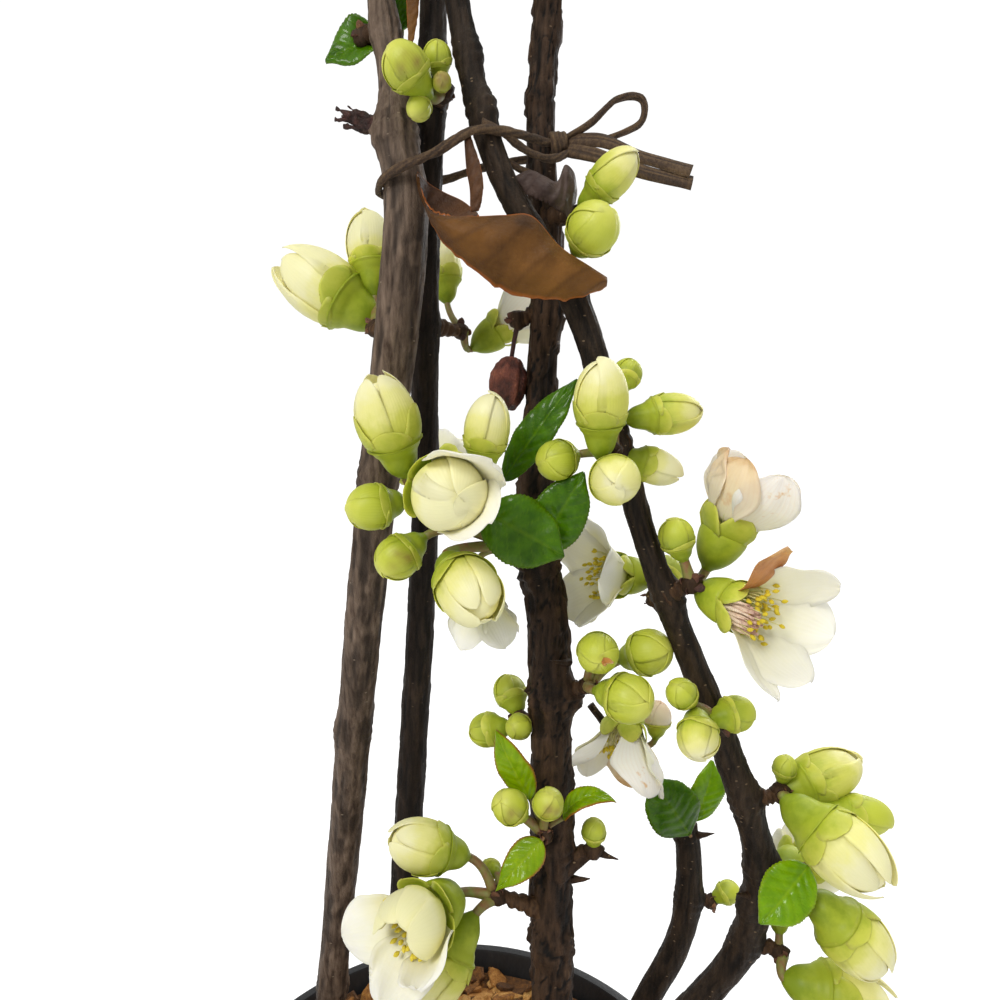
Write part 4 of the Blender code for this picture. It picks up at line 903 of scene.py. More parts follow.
def bud_parts(kind, variant, fine, pose):
    """A bud: a cup that hugs its ball, five overlapping sepals and five overlapping petals."""
    length, width, share, last, wide, openings, ripe = BUDS[kind]
    openings, ripe = pose.get("open", openings), pose.get("ripe", ripe)
    rng = random.Random(f"{kind} {variant}")
    ball, heart = width / 2 * 0.93, length * share
    stretch = (length - heart) / (2 * ball)
    finish = pose.get("finish", 1 if ripe > 0.5 else 0)
    parts = []
    cells, small = ((15, 11), (11, 9)) if fine else ((5, 4), (4, 3))
    sides = 24 if fine else 6
    body = [(0.3, 0.1)] + [
        (ball * 0.97 * math.cos(turn), ball * stretch * (1 + 0.975 * math.sin(turn)))
        for turn in np.radians((-60, -30, 0, 30, 55, 75))
    ] + [(0.1, 2 * ball * stretch * 0.99)]
    turned_part(parts, "petal", [(r, z + heart) for r, z in body], sides, finish, ripe=ripe)
    if ripe > 0.5 or fine:
        for k, order in enumerate(LAYERING):
            round_out = ball * (1 + 0.012 * order)
            reach_round = math.radians(148 + (9 if max(openings) < 0.05 else 4) * order)
            shape = petal(ball * reach_round, ball, round_out, openings[k], stretch,
                          lap=0.12 * ball / 6, cells=cells, seed=variant + k, late=0.62,
                          point=0.35 if ripe > 0.5 else 0.1, swirl=0.35)
            shape[0][..., 2] += heart
            leafed(parts, "petal", shape, math.tau * k / PETALS, 0.3, fine, finish, ripe)
    for k in range(2 if pose.get("dried") else 0):
        shape = petal(4.6, 1.0, 1.5, 0.25 + 0.2 * k, foot=0.8, cells=(12, 6), ruffle=0.7, seed=k, point=0.7)
        shape[0][..., 2] += length * 0.985
        leafed(parts, "petal", shape, 1.2 + 0.5 * k, 0.25, fine, 4)
    longer = pose.get("sepal", 1.0)
    for k in range(PETALS):
        swing = pose.get("sepal_open", 0.0) + 0.03 * rng.random()
        tilt = rng.uniform(-8, 5) * (2 if ripe > 0.5 else 1)
        shape = petal(ball * 1.05 * math.radians(45 - last - tilt) * longer, ball * wide,
                      ball * 1.075, swing, stretch, first=45, taper=2.6, waist=0.9,
                      lap=0.08 * ball / 6, tuck=0.11 * ball, cells=small, seed=variant + k, late=0.6,
                      ragged=0.07 if ripe > 0.5 else 0.03)
        shape[0][..., 2] += heart - 0.06 * ball
        leafed(parts, "calyx", shape, math.tau * (k + 0.5) / PETALS, 0.22, fine, ripe=ripe)
    hug = [(ball * 1.06 * math.cos(turn), heart + ball * stretch * (1 + 1.05 * math.sin(turn)))
           for turn in np.radians((-50, -42, -32))]
    cup = [(STALK_RADIUS * 0.9, -1.2), (ball * 0.30, -0.3), (ball * 0.52, heart * 0.5), *hug,
           (ball * 0.97, hug[-1][1] + 0.2)]
    turned_part(parts, "calyx", cup, sides, lobes=5, depth=0.012, ripe=ripe)
    return parts


def stamen_parts(parts, variant, fine, pose):
    """Stamens in a loose ring: bowed threads that lean outwards, each with a long anther.

    A withered bundle stands at one side where the pose asks for it.
    """
    rng = random.Random(variant)
    for k in range(STAMENS[fine]):
        turn = k * GOLDEN_ANGLE
        lean = math.radians(rng.uniform(3, 34))
        length = rng.uniform(7.0, 11.5) * (0.8 if pose.get("gap") else 1.0)
        t = np.linspace(0, 1, 5)
        out = 0.9 + 1.9 * rng.random() + length * (math.sin(lean) * t + 0.10 * np.sin(math.pi * t))
        up = length * math.cos(lean) * t - 0.8
        path = np.stack([out * math.cos(turn), out * math.sin(turn), up], 1)
        grid = sweep(path, np.linspace(0.17, 0.12, 5), 4 if fine else 3)
        parts.append(("stamen", *closed_tube(grid), 0, {"along": 0.5}))
        way = unit(path[-1] - path[-2]) + np.array((rng.uniform(-1, 1), rng.uniform(-1, 1), 0)) * 0.8
        head = path[-1] + unit(way) * np.linspace(-0.7, 0.9, 4)[:, None]
        grid = sweep(head, (0.16, 0.50, 0.48, 0.12), 6 if fine else 4)
        parts.append(("stamen", *closed_tube(grid), 1, {"along": 0.5}))
    if pose.get("withered"):
        for k in range(WITHERED_STAMENS):
            turn = math.radians(rng.uniform(55, 150))
            out = rng.uniform(1.2, 4.6)
            t = np.linspace(0, 1, 7)
            spread_out = out * (1 + 0.25 * t)
            path = np.stack([spread_out * math.cos(turn) + 0.3 * np.sin(5 * t + k) * t,
                             spread_out * math.sin(turn) + 0.3 * np.cos(4 * t + k) * t,
                             -0.5 + rng.uniform(7.0, 9.6) * t], 1)
            grid = sweep(path, 0.58 - 0.30 * t + 0.08 * np.sin(9 * t + k), 6)
            parts.append(("stamen", *closed_tube(grid), 2, {"along": np.concatenate([
                np.repeat(t, 6), [0, 1]])}))


def flower_parts(kind, variant, fine, pose):
    """A flower: a bell-shaped cup with five upright sepals, five broad petals, and its middle."""
    reach, _, width, ball = FLOWERS[kind]
    reach, width = pose.get("reach", reach), pose.get("width", width)
    ball = pose.get("ball", ball)
    finishes = pose.get("finishes", (2,) * PETALS)
    rng = random.Random(f"{kind} {variant}")
    parts = []
    cells, small, sides = ((20, 15), (9, 7), 24) if fine else ((5, 4), (4, 3), 6)
    for k in range(PETALS):
        opening = 0.80 + rng.uniform(-0.12, 0.08)
        if ball:
            opening = (0.42, 0.66, 0.50, 0.74, 0.38)[(k + variant) % PETALS]
        if "open" in pose:
            opening = pose["open"][k]
        if ball and opening < 0.15:
            continue
        round_out = (ball or 7.5) + 0.5
        turn = math.tau * (k + rng.uniform(-0.04, 0.04)) / PETALS
        if "angles" in pose:
            turn = math.radians(pose["angles"][k])
        dry = finishes[k] == 4
        shape = petal(reach * (0.86 if dry else 0.95), width / 2 * (0.62 if dry else 1.0), round_out,
                      opening, taper=3.2, waist=0.34, lap=0.45, ruffle=2.0 if dry else 1.9,
                      first=66 if ball else 50, foot=3.6, cells=cells, seed=variant * 7 + k,
                      late=pose.get("late", (0.32,) * PETALS)[k] if ball else 0.0,
                      point=0.4 if dry else 0.08, ragged=0.05)
        leafed(parts, "petal", shape, turn, 0.26, fine, finishes[k])
    for k in range(PETALS):
        if pose.get("gap") and k == 2:
            continue
        grown = pose.get("sepal", 1.0)
        shape = petal(5.6 * grown, 3.7 * grown, 5.7 if not ball else ball * 0.98 + 0.4,
                      pose.get("sepal_open", 0.26) + rng.uniform(-0.06, 0.12), taper=2.4,
                      waist=0.9, lap=0.12,
                      first=20 if not ball else 52, foot=5.2, cells=small, seed=k, ragged=0.06,
                      tuck=0.7)
        shape[0][..., 2] -= 4.6 if not ball else 0.9
        leafed(parts, "calyx", shape, math.tau * (k + 0.5) / PETALS, 0.26, fine)
    if pose.get("gap"):
        for k, angle in enumerate((5, 52, 318, 275)):
            shape = petal(ball * math.radians(132), ball * 1.05, ball * (0.92 + 0.015 * k), 0.02, lap=0.35,
                          cells=cells, seed=k, late=0.6, swirl=0.2)
            shape[0][..., 2] += 0.6
            leafed(parts, "petal", shape, math.radians(angle), 0.3, fine, 1, 1.0)
        stamen_parts(parts, variant, fine, pose)
    elif ball:
        rings = [(0.3, 0.6)] + [(ball * 0.9 * math.cos(a), 0.6 + ball * (1 + 0.94 * math.sin(a)))
                                for a in np.radians((-60, -30, 0, 30, 55, 75))]
        turned_part(parts, "petal", rings + [(0.1, 0.6 + 1.96 * ball)], sides, 1, ripe=0.95)
        for k, order in enumerate(LAYERING):
            opening = (0.0, 0.03, 0.01, 0.04, 0.02)[(k + variant) % PETALS]
            shape = petal(ball * math.radians(148 + 11 * order), ball * 1.05, ball * (1 + 0.016 * order),
                          opening, lap=0.3,
                          cells=cells, seed=k, late=0.6, swirl=0.4)
            shape[0][..., 2] += 0.6
            leafed(parts, "petal", shape, math.tau * (k + 0.3) / PETALS, 0.3, fine, 1, 0.95)
    else:
        stamen_parts(parts, variant, fine, pose)
    cup = ((1.1, -10.6), (1.6, -9.9), (2.8, -8.8), (4.2, -6.8), (5.1, -4.4), (5.5, -2.4), (5.4, -1.2),
           (4.7, -0.7), (3.9, -0.9), (2.6, -1.8), (0.6, -2.1))
    turned_part(parts, "calyx", cup, sides, lobes=5, depth=0.02)
    return parts


def leaf_parts(length, width, variant, fine, pose):
    """A leaf on its stalk: half width = width/2 * sin(pi t^0.86)^0.62, cut into forward teeth.

    It folds up in a V from the midrib, bends back by bend * t^2, twists evenly, and bulges between
    side veins that run forward at veins * t - 1.6|s|.
    """
    rng = random.Random(variant)
    rows, columns = (72, 21) if fine else (7, 5)
    teeth = max(12, round(length * 1.1))
    t = np.linspace(0, 1, rows)[:, None]
    s = np.linspace(-1, 1, columns)[None]
    half = width / 2 * np.sin(math.pi * np.clip(t, 0.004, 0.997) ** 0.86) ** 0.62
    half = half * (1 - 0.45 * rise(0.72, 1.0, t) * t) * (1 - pose.get("taper", 0.0) * t)
    if fine:
        half = half * (1 + 0.05 * (0.5 - (t * teeth) % 1) * rise(0.1, 0.2, t))
    bend = pose.get("bend", rng.uniform(0.5, 1.0))
    fold = pose.get("fold", rng.uniform(0.20, 0.42))
    lean = bend * (t ** 1.5 - 0.3)
    side = np.abs(s)
    phase = 7.0 * t - 1.6 * side
    vein = np.maximum(1 - np.abs(np.sin(math.pi * phase)) * 5, 0) * rise(0.05, 0.2, side)
    rib = np.clip(1 - side * 11, 0, 1)
    puffed = 0.36 * np.abs(np.sin(math.pi * phase)) ** 0.7 * (1 - side) ** 0.3 - 0.28 * rib
    places = as_points(t * length / 4, s * half / 4, 0 * t + variant)
    lift = fold * side * half + puffed * min(width / 9, 1) + 0.35 * layered(places, variant, 2) * side
    cup = -0.5 * width / 9 * side ** 4 * (1 if pose else 0.3)
    wave = rng.uniform(-0.3, 0.3) * side * half * np.sin(math.tau * (t * 1.3 + rng.random()))
    twist = rng.uniform(-0.5, 0.5) * t * (0.3 if pose else 1.0)
    across = s * half
    height = lift + wave + cup
    x = -running_sum(np.sin(lean), t * length) + height * np.cos(twist) - across * np.sin(twist)
    y = height * np.sin(twist) + across * np.cos(twist)
    points = as_points(x, y, running_sum(np.cos(lean), t * length))
    outward = np.broadcast_to(np.array((1.0, 0, 0)), points.shape)
    values = {"along": t, "side": s, "edge": side ** 7 * np.ones_like(t),
              "vein": np.maximum(vein * 0.8, rib) * rise(0.0, 0.04, 1 - t)}
    values = {k: np.broadcast_to(v, (rows, columns)).ravel() for k, v in values.items()}
    finish = pose["finish"]
    if not fine:
        return [("leaf", points.reshape(-1, 3), grid_faces(rows, columns), finish, values)]
    solid = closed_sheet(points, outward, np.full((rows, columns), 0.22))
    values = {k: np.tile(v, 2) for k, v in values.items()}
    return [("leaf", *solid, finish, values)]


def stand(points, origin, aim, spin, scale, hint=Vector((0, -1, 0.2))):
    """Points shaped in millimetres about +Z, stood at origin along aim and spun about it."""
    across, other = side_axes(aim, hint)
    across, other = np.array(across), np.array(other)
    first = across * math.cos(spin) + other * math.sin(spin)
    second = other * math.cos(spin) - across * math.sin(spin)
    return np.array(origin) + (points * scale * MM) @ np.array((first, second, np.array(aim)))


def stalk_grid(root, base, aim, radius, fine):
    """Tube from the spur's tip to an item's base that comes in along its axis, in metres."""
    root, base, aim = np.array(root), np.array(base), np.array(aim)
    middle = base - aim * np.linalg.norm(base - root) * 0.45
    t = np.linspace(0, 1, 9 if fine else 4)[:, None]
    path = root * (1 - t) ** 2 + middle * 2 * t * (1 - t) + base * t * t
    radii = radius * MM * (1 + 0.35 * (1 - t[:, 0]) ** 3)
    return sweep(path, radii, 10 if fine else 4)


def spotted(placed, centre, spots, scale):
    """How near each point lies to a brown mark on the side of a bud that faces the front."""
    near = np.zeros(len(placed))
    across, other = side_axes(Vector((0, -1, 0)), Vector((0, 0, 1)))
    for k in range(3 * spots):
        turn = k * GOLDEN_ANGLE
        mark = np.array(centre) + np.array((0, -4.5, 0)) * scale * MM
        mark = mark + (np.array(across) * math.cos(turn) + np.array(other) * math.sin(turn)) * (
            1.0 + 0.5 * k) * scale * MM
        distance = np.linalg.norm(placed - mark, axis=1) / MM
        near = np.maximum(near, np.exp(-(distance / (1.1 + 0.3 * spots)) ** 2))
    return near


def layer_of(layer, kinds, *values):
    """One layer of every bud, flower or leaf of those kinds, each stood on its spur, joined."""
    bundle = Bundle(*values)
    made = {}
    for number, (kind, scale, tip, centre, aim, pose) in enumerate(PLANT["items"]):
        if kind not in kinds:
            continue
        fine = centre.z < VIEW_TOP
        variant = number if fine else number % 5
        rng = random.Random(number)
        spin = rng.uniform(0, math.tau)
        size = scale
        hint = Vector((0, -1, 0.2))
        if "turn" in pose:
            spin, hint = math.radians(pose["turn"]), Vector((0, 0, 1))
        key = (kind, variant, fine, bool(pose))
        if kind == "leaf":
            end = centre + aim * LEAF_LENGTH * MM * scale * 0.4
            way = (end - tip).normalized()
            origin = tip + way * 2.2 * MM
            hint = Vector((0, -0.5, 1)) if abs(aim.z) < 0.8 else Vector((0, -1, 0.3))
            spin = rng.uniform(-0.3, 0.3)
            if "start" in pose:
                origin = tip + Vector(pose["start"]) * MM
                end = tip + Vector(pose["end"]) * MM
                way, spin = (end - origin).normalized(), 0.0
                hint = Vector(pose.get("face", (0, -1, 0.3)))
            size = 1.0
            length = (end - origin).length / MM
            young = origin.z < YOUNG_LEAF_HEIGHT or pose.get("young") or not fine and rng.random() < 0.3
            finish_number = 0 if pose.get("deep") else 1 if young else 0
            if pose.get("bright"):
                finish_number = 2
            key = (*key, round(length, 1), finish_number)
            if key not in made:
                made[key] = leaf_parts(length, pose.get("width", LEAF_WIDTH * scale), variant, fine,
                                       {**pose, "finish": finish_number})
            aim, base = way, origin
        elif kind in FLOWERS:
            origin = centre - aim * (FLOWERS[kind][1] * 0.4 * scale * MM)
            base = origin - aim * 10.0 * scale * MM
            if key not in made:
                made[key] = flower_parts(kind, variant, fine, pose)
        else:
            origin = base = centre - aim * (BUDS[kind][0] * scale / 2 * MM)
            if key not in made:
                made[key] = bud_parts(kind, variant, fine, pose)
        tint = rng.random()
        for part_layer, points, faces, finish, carried in made[key]:
            if part_layer == layer:
                placed = stand(points, origin, aim, spin, size, hint)
                spot = spotted(placed, centre, pose["spots"], scale) if "spots" in pose else 0.0
                bundle.add(placed, faces, finish, **{**carried, "tint": tint, "spot": spot})
        if layer == "calyx":
            start = tip if kind == "leaf" else tip + (centre - tip).normalized() * 1.2 * MM
            radius = 0.55 if kind == "leaf" else STALK_RADIUS * min(size, 1.1)
            bundle.add_tube(stalk_grid(start, base, aim, radius, fine), 1, tint=tint)
    return bundle



# Finishes ----------------------------------------------------


def stops(*rows):
    """Stops of a colour ramp, from rows of (place, red, green, blue)."""
    return [(place, paint(*colour)) for place, *colour in rows]


class Nodes:
    """A node tree that is being put together, with a short call for each kind of node."""

    def __init__(self, tree):
        self.tree = tree

    def set(self, socket, value):
        """Gives a socket a value, or joins another socket to it."""
        if isinstance(value, bpy.types.NodeSocket):
            self.tree.links.new(value, socket)
        else:
            socket.default_value = value

    def add(self, kind, inputs=None, **settings):
        """A node with its settings, its sockets given numbers or joined to other sockets."""
        node = self.tree.nodes.new(kind if kind.startswith("Node") else f"ShaderNode{kind}")
        for name, value in settings.items():
            setattr(node, name, value)
        for name, value in (inputs or {}).items():
            self.set(node.inputs[name], value)
        return node

    def blend(self, mask, first, second, mode="MIX"):
        """Colour that goes from first to second with a mask."""
        return self.add("Mix", {0: mask, 6: first, 7: second}, data_type="RGBA",
                        blend_type=mode).outputs[2]

    def ramp(self, value, marks, smoothly=True):
        """Colour looked up along stops."""
        node = self.add("ValToRGB", {"Fac": value})
        node.color_ramp.interpolation = "EASE" if smoothly else "LINEAR"
        elements = node.color_ramp.elements
        while len(elements) < len(marks):
            elements.new(1.0)
        for element, (place, colour) in zip(elements, marks):
            element.position = place
            element.color = colour
        return node.outputs["Color"]

    def reach(self, value, low, high, start=0.0, end=1.0):
        """Value carried from low..high to start..end and kept inside."""
        return self.add("MapRange", {"Value": value, "From Min": low, "From Max": high,
                                     "To Min": start, "To Max": end}).outputs["Result"]

    def count(self, operation, first, second=0.0):
        """One sum on two values."""
        return self.add("Math", {0: first, 1: second}, operation=operation).outputs[0]

    def times(self, first, second):
        """Product of two values."""
        return self.count("MULTIPLY", first, second)

    def carried(self, name):
        """A number kept at every point of the mesh."""
        return self.add("Attribute", attribute_name=name).outputs["Fac"]

    def bump(self, height, distance, normal, strength=1.0):
        """Relief of that height on top of other relief."""
        return self.add("Bump", {"Height": height, "Distance": distance, "Strength": strength,
                                 "Normal": normal}).outputs["Normal"]

    def places(self, along):
        """The object's own places, drawn out along Z."""
        parts = self.add("SeparateXYZ", {0: self.add("TexCoord").outputs["Object"]}).outputs
        return self.add("CombineXYZ", {"X": parts["X"], "Y": parts["Y"],
                                       "Z": self.times(parts["Z"], along)}).outputs[0]


def new_group(name, inputs, outputs):
    """A node group to put together, with the sockets it is given and those it gives."""
    group = bpy.data.node_groups.new(name, "ShaderNodeTree")
    for socket, value in inputs.items():
        group.interface.new_socket(
            name=socket, in_out="INPUT", socket_type="NodeSocketFloat").default_value = value
    for socket, kind in outputs.items():
        group.interface.new_socket(name=socket, in_out="OUTPUT", socket_type=kind)
    nodes = Nodes(group)
    return nodes, nodes.add("NodeGroupInput").outputs, nodes.add("NodeGroupOutput").inputs


def grain_group():
    """Node group: noise on the object's own places, drawn out along Z, as a mask and as relief."""
    nodes, given, out = new_group(
        "surface_grain", {"Scale": 1000.0, "Along": 1.0, "Depth": 0.0001, "Seed": 0.0},
        {"Mask": "NodeSocketFloat", "Normal": "NodeSocketVector"})
    shifted = nodes.add("VectorMath", {0: nodes.places(given["Along"]), 1: given["Seed"]},
                        operation="ADD")
    grain = nodes.add("TexNoise", {"Vector": shifted.outputs[0], "Scale": given["Scale"],
                                   "Detail": 4.0, "Roughness": 0.6}).outputs["Fac"]
    bump = nodes.add("Bump", {"Height": grain, "Distance": given["Depth"]})
    nodes.set(out["Mask"], nodes.reach(grain, 0.3, 0.7))
    nodes.set(out["Normal"], bump.outputs["Normal"])
    return nodes.tree


def speckle_group():
    """Node group: small scattered oval spots on the object's own places, as a mask."""
    nodes, given, out = new_group(
        "scattered_spots", {"Scale": 400.0, "Along": 1.0, "Size": 0.2, "Share": 0.3},
        {"Mask": "NodeSocketFloat"})
    cells = nodes.add("TexVoronoi", {"Vector": nodes.places(given["Along"]),
                                     "Scale": given["Scale"]}).outputs
    picked = nodes.add("SeparateColor", {"Color": cells["Color"]}).outputs["Red"]
    chosen = nodes.count("LESS_THAN", picked, given["Share"])
    spot = nodes.reach(nodes.count("SUBTRACT", given["Size"], cells["Distance"]), 0.0, 0.06)
    nodes.set(out["Mask"], nodes.times(spot, chosen))
    return nodes.tree


class Finish(Nodes):
    """A material that is being put together round its Principled shader."""

    def __init__(self, name, **fixed):
        self.made = bpy.data.materials.new(name)
        self.made.use_nodes = True
        super().__init__(self.made.node_tree)
        self.shader = self.tree.nodes["Principled BSDF"]
        for socket, value in fixed.items():
            self.shader.inputs[socket.replace("_", " ")].default_value = value

    def grain(self, scale, along, depth, seed=0.0):
        """Mask and relief of the shared grain."""
        group = bpy.data.node_groups.get("surface_grain") or grain_group()
        return self.add("Group", {"Scale": scale, "Along": along, "Depth": depth, "Seed": seed},
                        node_tree=group).outputs

    def spots(self, scale, along, size, share):
        """Mask of the shared spots."""
        group = bpy.data.node_groups.get("scattered_spots") or speckle_group()
        return self.add("Group", {"Scale": scale, "Along": along, "Size": size, "Share": share},
                        node_tree=group).outputs["Mask"]

    def done(self, colour, mask, rough_at_0, rough_at_1, normal):
        """The material, its colour and relief joined on, and its roughness run along a mask."""
        rough = self.reach(mask, 0, 1, rough_at_0, rough_at_1)
        for name, value in (("Base Color", colour), ("Roughness", rough), ("Normal", normal)):
            self.set(self.shader.inputs[name], value)
        return self.made


def bark_finish(name, dark, light, spots, share, moss=None):
    """Bark: dark furrows, lighter ridges in lengthwise streaks, pale breathing pores and lichen."""
    bark = Finish(name, Specular_IOR_Level=0.2)
    streaks = bark.grain(700.0, 0.16, 0.00030)
    patches = bark.grain(70.0, 0.5, 0.0, 3.0)["Mask"]
    flecks = bark.grain(2600.0, 0.7, 0.00012)["Mask"]
    colour = bark.blend(streaks["Mask"], dark, light)
    shade = bark.blend(patches, (0.60, 0.57, 0.56, 1), (1.15, 1.12, 1.1, 1))
    colour = bark.blend(1.0, colour, shade, "MULTIPLY")
    # Painted shade: the bark darkens towards 0.3 of its dark colour where it lies deep in a furrow or crack
    deep = (*(part * 0.3 for part in dark[:3]), 1)
    colour = bark.blend(bark.reach(bark.carried("furrow"), 0.35, 0.85), colour, deep)
    colour = bark.blend(bark.times(bark.spots(420.0, 1.9, 0.19, share), 0.6), colour, spots)
    if moss:
        crust = bark.times(bark.reach(bark.carried("lichen"), 0.25, 0.75), flecks)
        colour = bark.blend(bark.times(crust, 0.75), colour, moss)
    relief = bark.bump(flecks, 0.00012, streaks["Normal"], 0.8)
    return bark.done(colour, streaks["Mask"], 0.74, 0.46, relief)


def calyx_finish():
    """Cup and sepals: green at the foot, yellow-green above, pale thin rims with brown tips."""
    cup = Finish("calyx_green", Subsurface_Weight=0.2, Subsurface_Scale=0.0010,
                 Subsurface_Radius=(0.7, 1.0, 0.2), Specular_IOR_Level=0.25)
    mottle = cup.grain(230.0, 1.0, 0.00010)
    fine = cup.grain(1900.0, 1.0, 0.00005, 1.0)["Mask"]
    edge = cup.carried("edge")
    place = cup.count("ADD", cup.carried("along"), cup.reach(mottle["Mask"], 0, 1, -0.22, 0.22))
    colour = cup.ramp(place, stops((0.0, 134, 152, 32), (0.5, 174, 185, 52), (1.0, 208, 210, 84)))
    colour = cup.blend(cup.times(cup.carried("tint"), 0.35), colour, paint(124, 146, 30))
    colour = cup.blend(cup.reach(edge, 0.1, 1.0, 0.0, 0.5), colour, paint(214, 214, 108))
    brown = cup.reach(cup.times(edge, fine), 0.6, 0.9, 0.0, 0.6)
    colour = cup.blend(brown, colour, paint(146, 92, 34))
    colour = cup.blend(cup.carried("spot"), colour, paint(120, 78, 48))
    return cup.done(colour, fine, 0.38, 0.52, mottle["Normal"])


def stalk_finish():
    """Short flower stalks: green flushed with red-brown."""
    stalk = Finish("stalk_green")
    mottle = stalk.grain(420.0, 0.6, 0.0002)
    colour = stalk.blend(mottle["Mask"], paint(124, 140, 62), paint(136, 84, 58))
    return stalk.done(colour, mottle["Mask"], 0.45, 0.6, mottle["Normal"])


def petal_finish(name, marks, gain, mark=None, marked=(0.62, 0.80)):
    """Petals: a soft run of colour from foot to tip that ripeness shifts, and faint long veins."""
    petals = Finish(name, Subsurface_Weight=0.25, Subsurface_Scale=0.0012,
                    Subsurface_Radius=(1.0, 0.9, 0.55))
    broad = petals.grain(150.0, 1.0, 0.00015, 2.0)
    fine = petals.grain(900.0, 1.0, 0.00005)["Mask"]
    place = petals.count("ADD", petals.carried("along"),
                         petals.reach(petals.carried("ripe"), 0, 1, -gain, gain))
    place = petals.count("ADD", place, petals.reach(broad["Mask"], 0, 1, -0.09, 0.09))
    colour = petals.ramp(place, marks)
    veins = petals.count("SINE", petals.times(petals.carried("side"), 42.0))
    shown = petals.reach(veins, 0.3, 1.0, 0.0, 0.09 if mark else 0.03)
    colour = petals.blend(shown, colour, mark or marks[0][1])
    if mark:
        colour = petals.blend(petals.reach(broad["Mask"], *marked), colour, mark)
    colour = petals.blend(petals.times(petals.carried("spot"), 0.8), colour,
                          paint(216, 148, 84) if mark else paint(128, 88, 50))
    relief = petals.bump(veins, 0.000008, broad["Normal"])
    return petals.done(colour, fine, 0.42, 0.56, relief)


def leaf_finish(name, deep, light, vein, rim, rim_share):
    """Leaves: glossy green, lighter along the veins, tinted along the toothed edge."""
    leaf = Finish(name, Subsurface_Weight=0.12, Subsurface_Scale=0.0008,
                  Subsurface_Radius=(0.5, 1.0, 0.1), Coat_Weight=0.24, Coat_Roughness=0.10,
                  Specular_IOR_Level=0.12)
    mottle = leaf.grain(260.0, 1.0, 0.00018)
    fine = leaf.grain(2200.0, 1.0, 0.00005, 1.0)["Mask"]
    deep, light, vein, rim = (paint(*colour) for colour in (deep, light, vein, rim))
    colour = leaf.blend(mottle["Mask"], deep, light)
    colour = leaf.blend(leaf.times(leaf.carried("tint"), 0.3), colour, light)
    colour = leaf.blend(leaf.times(leaf.carried("vein"), 0.4), colour, vein)
    colour = leaf.blend(leaf.reach(leaf.carried("edge"), 0.25, 0.9, 0.0, rim_share), colour, rim)
    relief = leaf.bump(fine, 0.00005, mottle["Normal"])
    return leaf.done(colour, fine, 0.26, 0.42, relief)


def dead_leaf_finish(name, deep, middle, light, rim):
    """Dry leaf: caramel brown in blotches, darker veins, an orange rim."""
    leaf = Finish(name, Specular_IOR_Level=0.2)
    blotch = leaf.grain(62.0, 1.0, 0.0004)
    fine = leaf.grain(1500.0, 1.0, 0.00012, 2.0)["Mask"]
    deep, middle, light, rim = (paint(*colour) for colour in (deep, middle, light, rim))
    colour = leaf.blend(blotch["Mask"], deep, middle)
    # Painted light: the leaf turns lighter towards the end where along reaches 1, more so in its blotches
    painted_light = leaf.reach(leaf.count("ADD", leaf.carried("along"), blotch["Mask"]), 0.7, 1.7)
    colour = leaf.blend(leaf.times(painted_light, 0.7), colour, light)
    colour = leaf.blend(leaf.times(leaf.carried("vein"), 0.4), colour, deep)
    colour = leaf.blend(leaf.reach(leaf.carried("edge"), 0.45, 1.0, 0.0, 0.8), colour, rim)
    relief = leaf.bump(fine, 0.0001, blotch["Normal"])
    return leaf.done(colour, fine, 0.42, 0.62, relief)


def mixed_finish(name, marks, rough, scale, along, depth, mask="tint"):
    """A dry surface: colour picked along stops by a carried number, broken up by grain."""
    dry = Finish(name)
    grain = dry.grain(scale, along, depth)
    fine = dry.grain(scale * 4, along, depth / 3, 1.0)["Mask"]
    place = dry.count("ADD", dry.times(dry.carried(mask), 0.65), dry.times(grain["Mask"], 0.35))
    colour = dry.ramp(place, stops(*marks), smoothly=False)
    shade = dry.blend(fine, (0.7, 0.68, 0.66, 1), (1.2, 1.18, 1.15, 1))
    colour = dry.blend(1.0, colour, shade, "MULTIPLY")
    relief = dry.bump(fine, depth / 2, grain["Normal"])
    return dry.done(colour, fine, rough + 0.08, rough - 0.08, relief)


# Pieces ------------------------------------------------------


